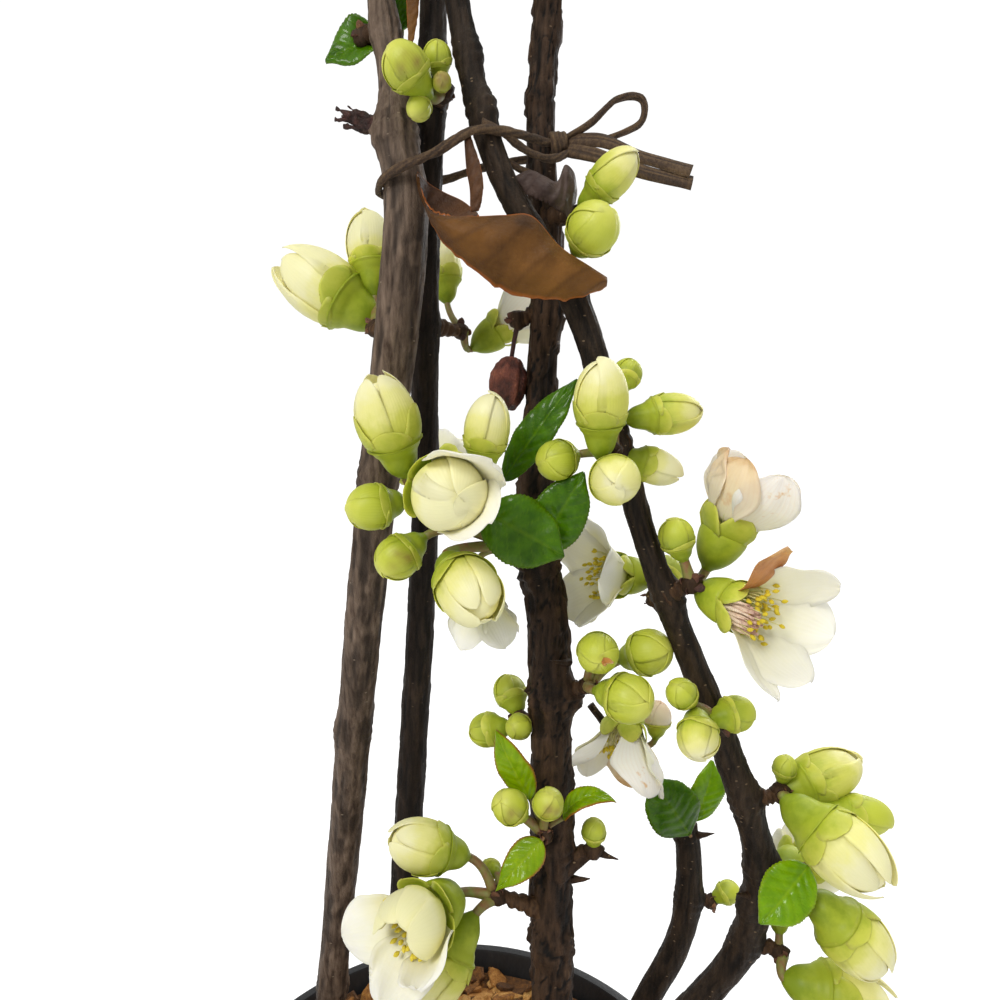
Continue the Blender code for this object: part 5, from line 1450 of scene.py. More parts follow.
def make_pot(options):
    """Nursery pot: a turned wall with a stepped rim, and drain holes cut through its floor."""
    foot, mouth, rim, wall = POT_FOOT, POT_MOUTH, POT_RIM, POT_WALL
    below = POT_HEIGHT - POT_RIM_DEPTH
    lip = 1.2 * MM

    def inner(height):
        return foot - wall + (mouth + wall - foot) * height / POT_HEIGHT

    profile = [(0.0002, 0), (foot - lip, 0), (foot - 0.3 * lip, 0.3 * lip), (foot, lip)]
    steps = np.linspace(0.03, 0.97, 24)
    profile += [(inner(below * k) + wall + 0.12 * MM * math.sin(k * 60), below * k) for k in steps]
    profile += [(inner(below) + wall, below), (rim - lip, below + lip / 2),
                (rim - 0.3 * lip, below + lip), (rim, below + 2 * lip),
                (rim + 0.3 * MM, below + 5 * MM), (rim, POT_HEIGHT - lip),
                (rim - 0.3 * lip, POT_HEIGHT - 0.3 * lip), (rim - lip, POT_HEIGHT),
                (inner(POT_HEIGHT) + 0.4 * lip, POT_HEIGHT), (inner(POT_HEIGHT), POT_HEIGHT - lip)]
    profile += [(inner(h), h) for h in (POT_HEIGHT * 0.7, POT_HEIGHT * 0.4, wall + lip)]
    profile += [(inner(wall) - lip, wall), (0.0002, wall)]
    bundle = Bundle("tint")
    bundle.add_tube(revolve(profile, 144), tint=0.5)
    plastic = mixed_finish(
        "pot_black", ((0.0, 24, 25, 27), (0.6, 34, 35, 37), (1.0, 58, 57, 54)),
        0.42, 260.0, 0.3, 0.00012)
    pot = bundle.make("nursery_pot", [plastic], "pot_plastic", ["pot"])
    cutter_mesh = Bundle()
    for k in range(DRAIN_HOLES):
        turn = math.tau * (k + 0.5) / DRAIN_HOLES
        centre = np.array((math.cos(turn), math.sin(turn), 0)) * DRAIN_RING
        path = centre + np.array((0, 0, 1)) * np.array((-6 * MM, 6 * MM))[:, None]
        cutter_mesh.add_tube(sweep(path, (DRAIN_RADIUS, DRAIN_RADIUS), 24, (1, 0, 0)))
    cutter = cutter_mesh.make("drain_cutter", [], "pot_plastic", [])
    cut = pot.modifiers.new("drain_holes", "BOOLEAN")
    cut.operation = "DIFFERENCE"
    cut.object = cutter
    graph = bpy.context.evaluated_depsgraph_get()
    holed = bpy.data.meshes.new_from_object(pot.evaluated_get(graph))
    pot.modifiers.clear()
    pot.data = holed
    holed.set_sharp_from_angle(angle=math.radians(40))
    bpy.data.objects.remove(cutter)


def make_mulch(options):
    """Potting bark: an uneven bed with flat angular chips of bark strewn over it."""
    rng = np.random.default_rng(5)
    wall = POT_FOOT - POT_WALL + (POT_MOUTH + POT_WALL - POT_FOOT) * SOIL_LEVEL / POT_HEIGHT
    wall -= 0.4 * MM
    base = POT_FOOT - POT_WALL - 0.4 * MM
    profile = [(0.0002, 2.4 * MM), (base, 2.4 * MM), (wall, SOIL_LEVEL - 4 * MM)]
    profile += [(wall * k, SOIL_LEVEL) for k in np.linspace(0.995, 0.004, 60)]
    bed = revolve(profile, 150)
    top = bed[3:]
    lumps = layered(top / (6 * MM), 3, 3) * 1.5 * MM
    bed[3:, :, 2] += lumps * rise(0, 0.08, 1 - np.hypot(top[..., 0], top[..., 1]) / wall)
    bundle = Bundle("tint")
    bundle.add_tube(bed, tint=0.12)
    feet = np.array([line[0] for line in STEMS.values()])[:, :2] * MM
    corners = all_round(6)
    outline = np.stack([np.cos(corners), np.sin(corners), np.zeros(6)], axis=1)
    made = 0
    while made < options.chips:
        turn, far = rng.uniform(0, math.tau), math.sqrt(rng.random()) * (wall - 3 * MM)
        place = np.array((far * math.cos(turn), far * math.sin(turn)))
        if np.min(np.linalg.norm(feet - place, axis=1)) < CHIP_CLEARANCE:
            continue
        made += 1
        length, width = rng.uniform(2.2, 6.5) * MM, rng.uniform(0.35, 0.8)
        shape = outline * rng.uniform(0.7, 1.15, (6, 1)) * np.array((length, length * width, 0))
        thick = np.array((0, 0, rng.uniform(0.5, 1.4) * MM))
        grid = np.stack([shape * 0.8 - thick, shape, shape * 0.9 + thick * 0.6])
        tilt = Matrix.Rotation(rng.uniform(0, math.tau), 3, "Z") @ Matrix.Rotation(
            rng.normal(0, 0.35), 3, "X") @ Matrix.Rotation(rng.normal(0, 0.35), 3, "Y")
        height = SOIL_LEVEL + rng.uniform(0.3, 2.6) * MM
        grid = grid @ np.array(tilt).T + np.array((*place, height))
        bundle.add_tube(grid, tint=rng.random())
    bark = mixed_finish(
        "bark_chips", ((0.0, 46, 30, 14), (0.3, 104, 66, 26), (0.6, 168, 112, 46),
                       (1.0, 220, 176, 104)), 0.8, 500.0, 1.0, 0.0005)
    piece = bundle.make("bark_mulch", [bark], "potting_bark", ["potting_bark"])
    piece.data.set_sharp_from_angle(angle=math.radians(40))


def bark_relief(name, line, sides):
    """Height of the bark over a stem's round, in millimetres, and how deep in a furrow it lies.

    Places are (r cos a, r sin a, length along), so the pattern meets itself round the stem. Ridges
    are noise drawn out lengthwise, flakes are steps in noise, and joints are round swellings.
    """
    _, ridge, flake, joints = BARK[name]
    seed = len(name) * 7
    angle = all_round(sides)[None]
    along = np.linalg.norm(np.diff(line[:, :3], axis=0), axis=1)
    along = np.concatenate([[0], np.cumsum(along)])[:, None] / MM

    def around(turns, length):
        radius = turns / math.tau
        return as_points(
            radius * np.cos(angle), radius * np.sin(angle), along / length)

    streaks = layered(around(26, 11), seed, 2)
    plates = rise(-0.05, 0.22, layered(around(9, 5.5), seed + 5, 2))
    cracks = 1 - rise(0.0, 0.16, np.abs(layered(around(11, 7), seed + 9, 2)))
    grain = noise(around(48, 1.6), seed + 13)
    swell = noise(around(3, 26), seed + 17)
    relief = ridge * streaks + flake * (plates - 0.5) - flake * 0.8 * cracks
    relief = relief + 0.06 * grain + 0.22 * swell
    heights = line[:, 2:3] / MM
    for height, turn, stands in joints:
        turned = (angle - math.radians(turn + 90) + math.pi) % math.tau - math.pi
        near = np.exp(-((heights - height) / 4.5) ** 2)
        relief = relief + stands * near * (0.25 + np.exp(-(turned / 0.8) ** 2))
        wrinkle = np.sin((heights - height) * 2.4) * near
        relief = relief + 0.18 * wrinkle * stands
    # Painted shade: places low in the streaks and plates, and in the cracks, take more of the darker furrow
    # colour
    deep = np.clip(0.5 - 0.55 * streaks * (ridge > 0) - 0.35 * (plates - 0.5), 0, 1)
    furrow = np.maximum(deep * 0.75, cracks * min(flake * 2.4, 1.0))
    return relief, furrow


def make_stems(options):
    """Bark of the five stems, each a closed tube with the relief of its own bark."""
    for name in STEMS:
        near = stem_line(name, BARK_STEP)
        far = stem_line(name, BARK_FAR_STEP)
        line = np.vstack([near[near[:, 2] < VIEW_TOP], far[far[:, 2] >= VIEW_TOP]])
        relief, furrow = bark_relief(name, line, BARK_SIDES)
        taper = rise(0, 1, np.arange(len(line))[::-1] / 3.0)[:, None]
        radii = line[:, 3:] + relief * MM * taper
        grid = sweep(line[:, :3], radii, BARK_SIDES, (0, -1, 0.2))
        grid[0, :, 2] = STEM_FOOT
        bundle = Bundle("furrow", "lichen")
        patch = 0.5 * layered(grid / (3 * MM), 31, 2) + 1.3 - np.linalg.norm(
            (grid / MM - np.array(LICHEN_PLACE)) / np.array((3, 4, 7)), axis=-1)
        bundle.add_tube(grid, furrow=furrow, lichen=np.clip(patch, 0, 1))
        key = BARK[name][0]
        bundle.make(f"{name}_bark", [bark_material(key)], "bark", [name])


def bark_material(key):
    """The bark finish of that name, made once."""
    if key in bpy.data.materials:
        return bpy.data.materials[key]
    dark, light, spots, share = {
        "bark_grey": ((68, 54, 44), (132, 114, 98), (156, 138, 118), 0.10),
        "bark_black": ((28, 21, 16), (56, 44, 34), (104, 88, 70), 0.12),
        "bark_dark": ((32, 21, 12), (84, 62, 44), (122, 100, 78), 0.08),
        "bark_brown": ((32, 24, 17), (66, 52, 38), (134, 112, 88), 0.26),
        "bark_twig": ((50, 34, 22), (98, 72, 48), (154, 128, 96), 0.22),
    }[key]
    moss = paint(150, 146, 134) if key == "bark_dark" else None
    return bark_finish(key, paint(*dark), paint(*light), paint(*spots), share, moss)


def make_boughs(options):
    """Bark of the side boughs, joined: each sunk into its stem and swollen at its foot."""
    bundle = Bundle("furrow", "lichen")
    for name in BOUGHS:
        line = PLANT["lines"][name]
        sides = 20
        angle = all_round(sides)
        round_places = as_points(
            1.6 * np.cos(angle)[None], 1.6 * np.sin(angle)[None],
            np.arange(len(line))[:, None] / 4.0)
        relief = layered(round_places, len(name), 2)
        foot = 1 + 0.5 * np.exp(-np.arange(len(line)) / 3.0)
        radii = line[:, 3:] * foot[:, None] + relief * 0.14 * MM
        grid = sweep(line[:, :3], radii, sides)
        # Painted shade: where the noise sinks the bough's surface, its bark takes the darker furrow colour
        bundle.add_tube(grid, furrow=np.clip(0.4 - 0.5 * relief, 0, 1))
    bundle.make("bough_bark", [bark_material("bark_twig")], "bark", list(BOUGHS))


def make_twigs(options):
    """Twigs of the crown, joined: kinked tubes with a swollen joint wherever they turn."""
    bundle = Bundle("furrow", "lichen")
    for points, first, last in PLANT["twigs"]:
        small = first < TWIG_RADII[0] * 0.7
        places = curve([tuple(p / MM) for p in points], 3.5 if small else 2.2) * MM
        t = np.linspace(0, 1, len(places))
        joints = np.cos(t * math.tau * (len(points) - 1)) ** 8
        radii = (first + (last - first) * t) * (1 + 0.16 * joints)
        bundle.add_tube(sweep(places, radii, 5 if small else 9), furrow=0.3)
    bundle.make("crown_twigs", [bark_material("bark_twig")], "bark", list(MASSES))


def make_spurs(options):
    """Flowering spurs: ringed stubs with a knobbly end, wrapped in dry red-brown bud scales."""
    bundle = Bundle("furrow", "lichen", "along", "edge", "tint")
    for number, (start, tip) in enumerate(PLANT["spurs"]):
        rng = random.Random(number)
        start, tip = np.array(start), np.array(tip)
        t = np.linspace(0, 1, 22)[:, None]
        path = start + (tip - start) * t
        path = path + noise(np.hstack([t * 3, t * 0 + number, t * 0]), 2)[:, None] * 0.5 * MM * t
        rings = 1 + 0.14 * np.cos(t[:, 0] * 30) + 0.5 * np.exp(-t[:, 0] * 5)
        radii = (SPUR_RADII[0] + (SPUR_RADII[1] - SPUR_RADII[0]) * t[:, 0]) * rings
        grid = sweep(path, radii, 16)
        grid = grid + noise(grid / (1.3 * MM), number)[..., None] * unit(grid - path[:, None]) * 0.3 * MM
        bundle.add_tube(grid, furrow=0.35)
        way = unit(tip - start)
        turn = np.linspace(-1, 1, 13) * math.pi / 2 * 0.98
        knob = tip + way * np.sin(turn)[:, None] * KNUCKLE_RADIUS
        grid = sweep(knob, np.cos(turn) * KNUCKLE_RADIUS * 0.92, 18)
        lumps = layered(grid / (1.7 * MM), number, 2)[..., None] * 0.55 * MM
        grid = grid + unit(grid - tip) * lumps
        # The knob and the thorns are darkened evenly by a share of the darker furrow colour
        bundle.add_tube(grid, furrow=0.55)
        for k in range(options.scales):
            aim = spread(Vector(way), k * GOLDEN_ANGLE + number, rng.uniform(0.5, 2.2))
            size = rng.uniform(0.5, 1.0)
            shape = petal(3.4, 1.5, 2.6, 0.15 + 0.3 * rng.random(), first=50, taper=1.8, foot=0.6,
                          cells=(6, 5), ruffle=0.5, seed=k)
            points, outward, along, side = shape
            solid = closed_sheet(points, outward, np.full(along.shape, 0.18))
            placed = stand(solid[0], tip - np.array(aim) * 0.4 * MM, aim, k, size)
            edge = np.tile(np.maximum(np.abs(side) ** 4, along ** 5).ravel(), 2)
            bundle.add(placed, solid[1], 1, along=np.tile(along.ravel(), 2), edge=edge,
                       tint=rng.random())
    scales = mixed_finish(
        "bud_scale_brown", ((0.0, 54, 32, 26), (0.4, 88, 52, 38), (0.75, 128, 84, 54),
                            (1.0, 176, 132, 84)),
        0.6, 900.0, 1.0, 0.0003)
    thorns = [(np.array(tip) / MM, np.array(centre + aim * THORN_LENGTH * MM * scale * 0.5) / MM, 1.5)
              for kind, scale, tip, centre, aim, _ in PLANT["items"] if kind == "thorn"]
    for start, tip, radius in (*thorns, *THORNS):
        t = np.linspace(0, 1, 12)[:, None]
        path = np.array(start) * (1 - t) + np.array(tip) * t
        path = path + np.array((0, 0, 0.8)) * t * t
        grid = sweep(path * MM, radius * MM * (1.0 - 0.92 * t[:, 0] ** 0.9), 12)
        grid = grid + noise(grid / (1.1 * MM), 3)[..., None] * unit(grid - path[:, None] * MM) * 0.15 * MM
        bundle.add_tube(grid, furrow=0.6)
    bundle.make("spur_wood", [bark_material("bark_twig"), scales], "bark", list(CLUSTERS))



def make_calyxes(options):
    """Cups, sepals and stalks, joined: those of closed buds, and all others with the leaf stalks."""
    finishes = [calyx_finish(), stalk_finish()]
    for group, kinds in KIND_GROUPS.items():
        bundle = layer_of("calyx", kinds, *PETAL_VALUES)
        bundle.make(f"{group}_calyxes", finishes, "bud", GROWN_NODES)


def make_petals(options):
    """Petals of closed buds and of opened ones: green, cream, white, tan, papery and spotted."""
    looks = (
        ("petal_green", stops((0.0, 146, 162, 32), (0.5, 192, 200, 60), (1.0, 224, 224, 104)), 0.22),
        ("petal_cream", stops((0.34, 172, 186, 48), (0.58, 216, 216, 92), (0.80, 242, 236, 148),
                              (1.0, 248, 242, 184)), 0.40),
        ("petal_white", stops((0.0, 222, 222, 120), (0.22, 244, 240, 204), (1.0, 250, 247, 231)), 0.0),
        ("petal_tan", stops((0.0, 240, 230, 200), (0.4, 240, 224, 194), (0.8, 234, 208, 172),
                            (1.0, 204, 156, 106)), 0.0, paint(224, 178, 128), (0.7, 1.1)),
        ("petal_papery", stops((0.0, 176, 112, 54), (0.5, 192, 128, 66), (1.0, 206, 150, 90)), 0.0,
         paint(150, 88, 42), (0.4, 0.9)),
        ("petal_spotted", stops((0.0, 232, 226, 178), (0.22, 244, 240, 222), (1.0, 247, 240, 228)),
         0.0, paint(226, 186, 140), (0.82, 0.98)),
    )
    finishes = [petal_finish(*look) for look in looks]
    for group, kinds in KIND_GROUPS.items():
        bundle = layer_of("petal", kinds, *PETAL_VALUES)
        bundle.make(f"{group}_petals", finishes, "petal", GROWN_NODES)


def make_stamens(options):
    """Stamens of the open flowers, joined: pale threads, yellow anthers and a withered bundle."""
    thread = mixed_finish("stamen_thread", ((0.0, 228, 226, 150), (1.0, 238, 234, 176)),
                          0.5, 1500.0, 1.0, 0.00005)
    anther = mixed_finish("anther_yellow", ((0.0, 236, 212, 40), (1.0, 250, 232, 82)),
                          0.7, 3000.0, 1.0, 0.0001)
    dry = mixed_finish("stamen_withered", ((0.0, 250, 236, 216), (0.6, 246, 222, 200),
                                           (0.88, 206, 160, 142), (1.0, 120, 76, 86)),
                       0.7, 900.0, 1.0, 0.0001, mask="along")
    bundle = layer_of("stamen", FLOWERS, "along", "tint")
    bundle.make("stamens", [thread, anther, dry], "petal", GROWN_NODES)


def make_leaves(options):
    """Leaves of the spurs and the crown, joined: glossy deep green, young ones yellow-green."""
    finishes = [leaf_finish(*look) for look in (
        ("leaf_deep", (34, 72, 0), (76, 118, 0), (108, 144, 12), (92, 110, 20), 0.3),
        ("leaf_young", (96, 134, 0), (142, 172, 2), (172, 194, 30), (158, 58, 22), 0.8),
        ("leaf_bright", (84, 130, 0), (128, 170, 4), (160, 192, 30), (150, 160, 20), 0.4))]
    bundle = layer_of("leaf", ("leaf",), "along", "edge", "side", "tint", "vein")
    bundle.make("leaves", finishes, "leaf", GROWN_NODES)


def strand(bundle, knots, radius, twist, flat=1.0, hint=(0, 0, 1), step=0.7, sides=16):
    """Twisted strand of fibres along a curve through knots, in millimetres.

    Round its axis the radius is that of an ellipse with axes 1 and flat, times ridges
    1 + 0.05 cos(5a) that turn by twist for each millimetre, times noise for loose fibres.
    """
    path = curve(knots, step)
    along = np.arange(len(path))[:, None] * step
    angle = all_round(sides)[None]
    phase = angle + twist * along
    oval = 1 / np.sqrt(np.cos(angle) ** 2 + (np.sin(angle) / flat) ** 2)
    hair = noise(as_points(
        2.2 * np.cos(phase), 2.2 * np.sin(phase), along / 5), 4)
    ridges = 1 + 0.05 * np.cos(5 * phase) + 0.10 * np.cos(2 * phase) * (flat > 0.6) + 0.12 * hair
    grid = sweep(path * MM, radius * MM * oval * ridges, sides, hint)
    # Painted shade and light: the tint follows the strand's ridges and loose fibres, darker in the hollows
    # between them and lighter on the crests; the fibre noise also makes the tone uneven
    bundle.add_tube(grid, tint=np.clip(0.45 + 0.4 * hair + 0.25 * np.cos(5 * phase), 0, 1))


def make_tie(options):
    """Fibre tie: a ring round the stems, its second turn, a knot, one bow loop, two flat tails."""
    bundle = Bundle("tint")
    strand(bundle, TIE_RING, TIE_RADIUS * 0.92, 0.25, flat=0.8)
    strand(bundle, TIE_SECOND, TIE_RADIUS * 0.8, 0.3, flat=0.7)
    strand(bundle, TIE_THIRD, TIE_RADIUS * 0.8, 0.3, flat=0.7)
    strand(bundle, TIE_LOOP, TIE_RADIUS * 0.95, 0.2, flat=0.7, hint=(0, 1, 0))
    strand(bundle, TIE_TAILS[0], TIE_RADIUS * 2.1, 0.02, flat=0.28, hint=(0, 0.6, 0.8))
    strand(bundle, TIE_TAILS[1], TIE_RADIUS * 1.9, -0.03, flat=0.30, hint=(0, 0.5, 0.9))
    centre = np.array(TIE_KNOT, float)
    turns = np.linspace(0, 2.6 * math.tau, 40)
    wrap = centre + np.stack([turns * 0.16 - 1.4, 1.9 * np.cos(turns), 2.3 * np.sin(turns)], axis=1)
    strand(bundle, wrap, TIE_RADIUS * 0.9, 0.3, flat=0.7, hint=(1, 0, 0))
    fibre = mixed_finish(
        "tie_fibre_brown", ((0.0, 36, 25, 18), (0.4, 76, 56, 38), (0.75, 112, 88, 60),
                            (1.0, 150, 122, 86)),
        0.75, 1200.0, 0.5, 0.0003)
    bundle.make("garden_tie", [fibre], "tie_fibre", ["tie"])


def hung_sheet(bundle, upper, lower, belly, thickness, finish=0, cells=(90, 36), seed=0, crumple=0.7):
    """A dry leaf between two curves in millimetres, bellied forward by sin(pi v) and wrinkled."""
    rows, columns = cells
    top, bottom = (curve(knots, 0.2) for knots in (upper, lower))
    pick = np.linspace(0, 1, rows)
    top, bottom = (np.stack([np.interp(pick, np.linspace(0, 1, len(edge)), axis) for axis in edge.T], 1)
                   for edge in (top, bottom))
    v = np.linspace(0, 1, columns)[None, :, None]
    u = pick[:, None, None]
    points = top[:, None] * (1 - v) + bottom[:, None] * v
    bulge = belly * np.sin(math.pi * v) ** 0.8 * np.sin(math.pi * np.clip(u * 0.9 + 0.08, 0, 1)) ** 0.6
    veins = np.cos((u * 6.5 + v * 1.2) * math.tau) * 0.16 * np.sin(math.pi * v)
    creases = layered(points / 7.0, seed, 3)[..., None] * crumple * np.minimum(v * 4, 1)
    points = points + np.concatenate([0 * u * v, -(bulge + veins + creases), 0 * u * v], axis=-1)
    ragged = noise(np.concatenate([u * 38 + 0 * v, 0 * u + 0 * v, 0 * u + 0 * v + seed], axis=-1), seed)
    points[..., 2] += ragged * 0.35 * rise(0.8, 1.0, v[..., 0])
    points = points * MM
    outward = np.cross(np.gradient(points, axis=1), np.gradient(points, axis=0))
    outward = unit(outward)
    solid = closed_sheet(points, outward, np.full(points.shape[:2], thickness * MM))
    if outward[rows // 2, columns // 2, 1] > 0:
        solid = solid[0], solid[1][:, ::-1]
    across = np.broadcast_to(v[..., 0], points.shape[:2])
    along = np.broadcast_to(u[..., 0], points.shape[:2])
    edge = np.maximum(1 - across / 0.05, (across - 0.9) / 0.1).clip(0, 1)
    vein = np.maximum(0, np.cos((along * 6.5 + across * 1.2) * math.tau)) ** 8
    values = {"along": along, "edge": edge, "side": across, "vein": vein}
    bundle.add(*solid, finish, **{k: np.tile(value.ravel(), 2) for k, value in values.items()})


def make_dead_leaf(options):
    """Curled dead leaf in the tie with its back and folded strip, a grey one, and a dried husk."""
    bundle = Bundle("along", "edge", "side", "vein")
    hung_sheet(bundle, DEAD_LEAF_CREST, DEAD_LEAF_EDGE, 4.6, 0.35, seed=3)
    hung_sheet(bundle, DEAD_LEAF_BACK, DEAD_LEAF_BACK_FOOT, -1.2, 0.3, finish=2, cells=(50, 20),
               seed=12)
    strip = np.array(DEAD_LEAF_STRIP, float)
    width = np.array((0.25, 0.9, 1.4, 1.3, 0.9))[:, None]
    hung_sheet(bundle, strip - width * (1, 0, 0), strip + width * (1, -0.9, 0), 0.9, 0.3,
               finish=2, cells=(60, 14), seed=6)
    hung_sheet(bundle, GREY_LEAF, GREY_LEAF_FOOT, 2.2, 0.4, finish=1, cells=(90, 40), seed=9,
               crumple=1.5)
    paper = np.array(PAPER_STRIP, float)
    width = np.array((1.6, 1.3, 0.4))[:, None]
    hung_sheet(bundle, paper - width * (1, 0, 0), paper + width * (1, -0.5, 0), 0.5, 0.25,
               finish=0, cells=(50, 12), seed=15)
    # Colours of each dry leaf: deep, middle, painted light, rim
    finishes = [dead_leaf_finish(*look) for look in (
        ("dead_leaf_brown", (58, 34, 10), (96, 60, 22), (142, 96, 42), (190, 104, 36)),
        ("dead_leaf_grey", (46, 35, 33), (82, 66, 60), (104, 86, 76), (70, 50, 40)),
        ("dead_leaf_dark", (44, 28, 20), (76, 50, 34), (104, 70, 44), (188, 108, 52)))]
    bundle.make("dead_leaves", finishes, "dead_leaf", ["dead_leaf"])
    bundle = Bundle("tint")
    husks = [item for item in PLANT["items"] if item[0] == "husk"]
    for _, scale, tip, centre, aim, _ in husks:
        t = np.linspace(-1, 1, 40) * math.pi / 2 * 0.985
        path = np.array(centre) + np.array(aim) * np.sin(t)[:, None] * HUSK_REACH * scale * MM
        grid = sweep(path, np.cos(t) ** 0.85 * HUSK_RADIUS * scale * MM, 48)
        wrinkle = layered(grid / (np.array((1.6, 1.6, 3.2)) * MM), 8, 3)
        grid = grid + unit(grid - np.array(centre)) * (wrinkle * 0.5 * MM)[..., None]
        # Painted shade and light: the tint follows the wrinkles, darker in their hollows and lighter on
        # their ridges
        bundle.add_tube(grid, tint=np.clip(0.5 + wrinkle * 0.6, 0, 1))
        stalk = stalk_grid(tip, centre - aim * 6.4 * MM, aim, 0.6, True)
        bundle.add_tube(stalk, tint=0.05)
    for side, share in ((-1.5, 0.9), (-0.6, 1.0), (0, 0.86), (0.7, 0.95), (1.6, 0.8)):
        lean = np.array((0.3 * abs(side), -0.4 * side, side))
        path = np.array(DEAD_STUB) + lean * np.linspace(0.2, 1.6, 4)[:, None]
        path = curve(path, 0.5)[:round(len(curve(path, 0.5)) * share)]
        t = np.linspace(0, 1, len(path))
        radii = (2.2 - 1.9 * t ** 1.5) * (1 if side == 0 else 0.62) * MM
        grid = sweep(path * MM, radii, 16)
        rough = layered(grid / (1.5 * MM), round(10 * side) + 25, 2)
        grid = grid + unit(grid - path[:, None] * MM) * (rough * 0.7 * MM)[..., None]
        bundle.add_tube(grid, tint=0.02)
    husk = mixed_finish(
        "husk_red_brown", ((0.0, 30, 20, 18), (0.35, 78, 38, 28), (0.7, 116, 60, 44),
                           (1.0, 150, 88, 64)),
        0.55, 700.0, 0.6, 0.0004)
    bundle.make("dried_husk", [husk], "dead_leaf", ["cluster_middle_husk"])


# Stage -------------------------------------------------------


def make_stage(options):
    """Pale floor, soft white surroundings, soft lamps and the camera."""
    scene = bpy.context.scene
    side = options.floor / 2
    corners = ((-side, -side), (side, -side), (side, side), (-side, side))
    mesh = bpy.data.meshes.new("studio_floor")
    mesh.from_pydata([(x, y, -0.2 * MM) for x, y in corners], [], [(0, 1, 2, 3)])
    floor = bpy.data.objects.new("studio_floor", mesh)
    scene.collection.objects.link(floor)
    pale = Finish("floor_pale", Roughness=0.9, Specular_IOR_Level=0.2)
    dust = pale.grain(14.0, 1.0, 0.0)["Mask"]
    shade = pale.blend(dust, (0.88, 0.88, 0.88, 1), (0.91, 0.91, 0.91, 1))
    pale.set(pale.shader.inputs["Base Color"], shade)
    seen = pale.add("LightPath").outputs["Is Camera Ray"]
    glow = pale.add("Emission", {"Color": (1, 1, 1, 1), "Strength": 1.4})
    mixed = pale.add("MixShader", {0: pale.times(seen, 0.72), 1: pale.shader.outputs[0],
                                   2: glow.outputs[0]})
    pale.set(pale.tree.nodes["Material Output"].inputs["Surface"], mixed.outputs[0])
    mesh.materials.append(pale.made)
    world = bpy.data.worlds.new("studio_world")
    scene.world = world
    world.use_nodes = True
    sky = Nodes(world.node_tree)
    seen = sky.add("LightPath").outputs["Is Camera Ray"]
    surround = world.node_tree.nodes["Background"].inputs
    sky.set(surround["Color"], (1.0, 1.0, 1.0, 1.0))
    sky.set(surround["Strength"], sky.reach(seen, 0.0, 1.0, options.surround, 1.05))
    lamps = (
        ("key_lamp", (-0.50, -0.80, 1.10), 0.45, options.key, (1.0, 0.99, 0.97)),
        ("top_lamp", (0.25, 0.10, 1.45), 0.60, options.key * 0.9, (1.0, 1.0, 1.0)),
        ("back_lamp", (0.60, 0.80, 0.70), 0.50, options.key * 0.4, (0.98, 0.99, 1.0)),
    )
    for name, place, size, power, colour in lamps:
        lamp = bpy.data.lights.new(name, "AREA")
        lamp.shape = "DISK"
        lamp.size = size
        lamp.energy = power
        lamp.color = colour
        holder = bpy.data.objects.new(name, lamp)
        holder.location = place
        aim = Vector((0.01, 0.0, 0.34)) - Vector(place)
        holder.rotation_euler = aim.to_track_quat("-Z", "Y").to_euler()
        scene.collection.objects.link(holder)
    camera = bpy.data.cameras.new("camera")
    camera.sensor_fit = "HORIZONTAL"
    camera.sensor_width = 36.0
    camera.lens = options.lens
    camera.clip_start = 0.01
    camera.clip_end = 20.0
    seat = bpy.data.objects.new("camera", camera)
    seat.location = options.eye
    seat.rotation_euler = (math.radians(90 - options.pitch), 0.0, 0.0)
    scene.collection.objects.link(seat)
    scene.camera = seat
    scene.view_settings.view_transform = "Standard"


# Add-on ------------------------------------------------------


class QuinceSettings(bpy.types.PropertyGroup):
    """Sizes and amounts that a user may change."""

    chips: bpy.props.IntProperty(
        name="Bark chips", description="Chips strewn over the mulch", default=900, min=0)
    scales: bpy.props.IntProperty(
        name="Bud scales", description="Dry scales round the end of each spur", default=7, min=0)


class StudioSettings(bpy.types.PropertyGroup):
    """Floor, lamps and camera."""

    floor: bpy.props.FloatProperty(
        name="Floor", description="Side of the floor", default=14.0, unit="LENGTH")
    surround: bpy.props.FloatProperty(
        name="Surroundings", description="Brightness all round the plant", default=0.52)
    key: bpy.props.FloatProperty(
        name="Key lamp", description="Power of the main lamp", default=8.0, unit="POWER")
    lens: bpy.props.FloatProperty(
        name="Lens", description="Focal length of the camera in millimetres", default=27.04)
    pitch: bpy.props.FloatProperty(
        name="Pitch", description="How far the camera looks down, in degrees", default=8.0)
    eye: bpy.props.FloatVectorProperty(
        name="Eye", description="Place of the camera", default=(0.014, -0.1915, 0.366),
        subtype="TRANSLATION", unit="LENGTH")


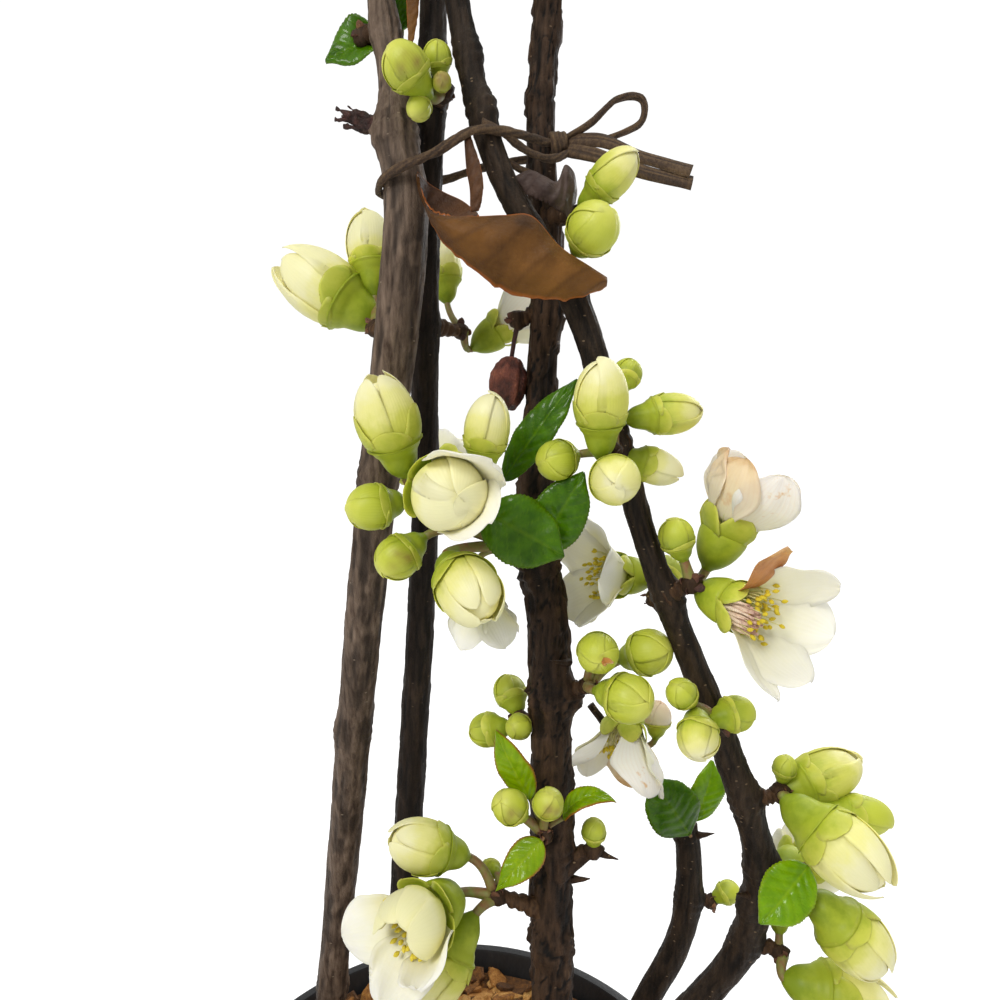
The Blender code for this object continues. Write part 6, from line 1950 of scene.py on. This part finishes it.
def piece_operator(name, label, make, group="quince"):
    """An operator that makes one piece or one group of like pieces."""

    def execute(self, context):
        make(getattr(context.scene, group))
        return {"FINISHED"}

    return type(f"QUINCE_OT_{name}", (bpy.types.Operator,), {
        "__doc__": make.__doc__, "bl_idname": f"quince.{name}", "bl_label": label,
        "bl_options": {"REGISTER", "UNDO"}, "execute": execute})


OPERATORS = (
    piece_operator("pot", "Nursery pot", make_pot),
    piece_operator("mulch", "Bark mulch", make_mulch),
    piece_operator("stems", "Stem bark", make_stems),
    piece_operator("boughs", "Bough bark", make_boughs),
    piece_operator("twigs", "Crown twigs", make_twigs),
    piece_operator("spurs", "Flowering spurs", make_spurs),
    piece_operator("calyxes", "Cups and sepals", make_calyxes),
    piece_operator("petals", "Petals", make_petals),
    piece_operator("stamens", "Stamens", make_stamens),
    piece_operator("leaves", "Leaves", make_leaves),
    piece_operator("tie", "Garden tie", make_tie),
    piece_operator("dead_leaf", "Dead leaves and husk", make_dead_leaf),
    piece_operator("stage", "Floor, light and camera", make_stage, "studio"),
)


class QUINCE_PT_panel(bpy.types.Panel):
    """Settings and pieces of the plant."""

    bl_label = "Flowering quince"
    bl_idname = "QUINCE_PT_panel"
    bl_space_type = "VIEW_3D"
    bl_region_type = "UI"
    bl_category = "Quince"

    def draw(self, context):
        for settings in (context.scene.quince, context.scene.studio):
            for name in settings.__annotations__:
                self.layout.prop(settings, name)
        for operator in OPERATORS:
            self.layout.operator(operator.bl_idname)


CLASSES = (QuinceSettings, StudioSettings, *OPERATORS, QUINCE_PT_panel)


def register():
    for each in CLASSES:
        bpy.utils.register_class(each)
    bpy.types.Scene.quince = bpy.props.PointerProperty(type=QuinceSettings)
    bpy.types.Scene.studio = bpy.props.PointerProperty(type=StudioSettings)


def unregister():
    del bpy.types.Scene.studio
    del bpy.types.Scene.quince
    for each in reversed(CLASSES):
        bpy.utils.unregister_class(each)


def main():
    register()
    for operator in OPERATORS:
        getattr(bpy.ops.quince, operator.bl_idname.split(".")[1])()


if __name__ == "__main__":
    main()
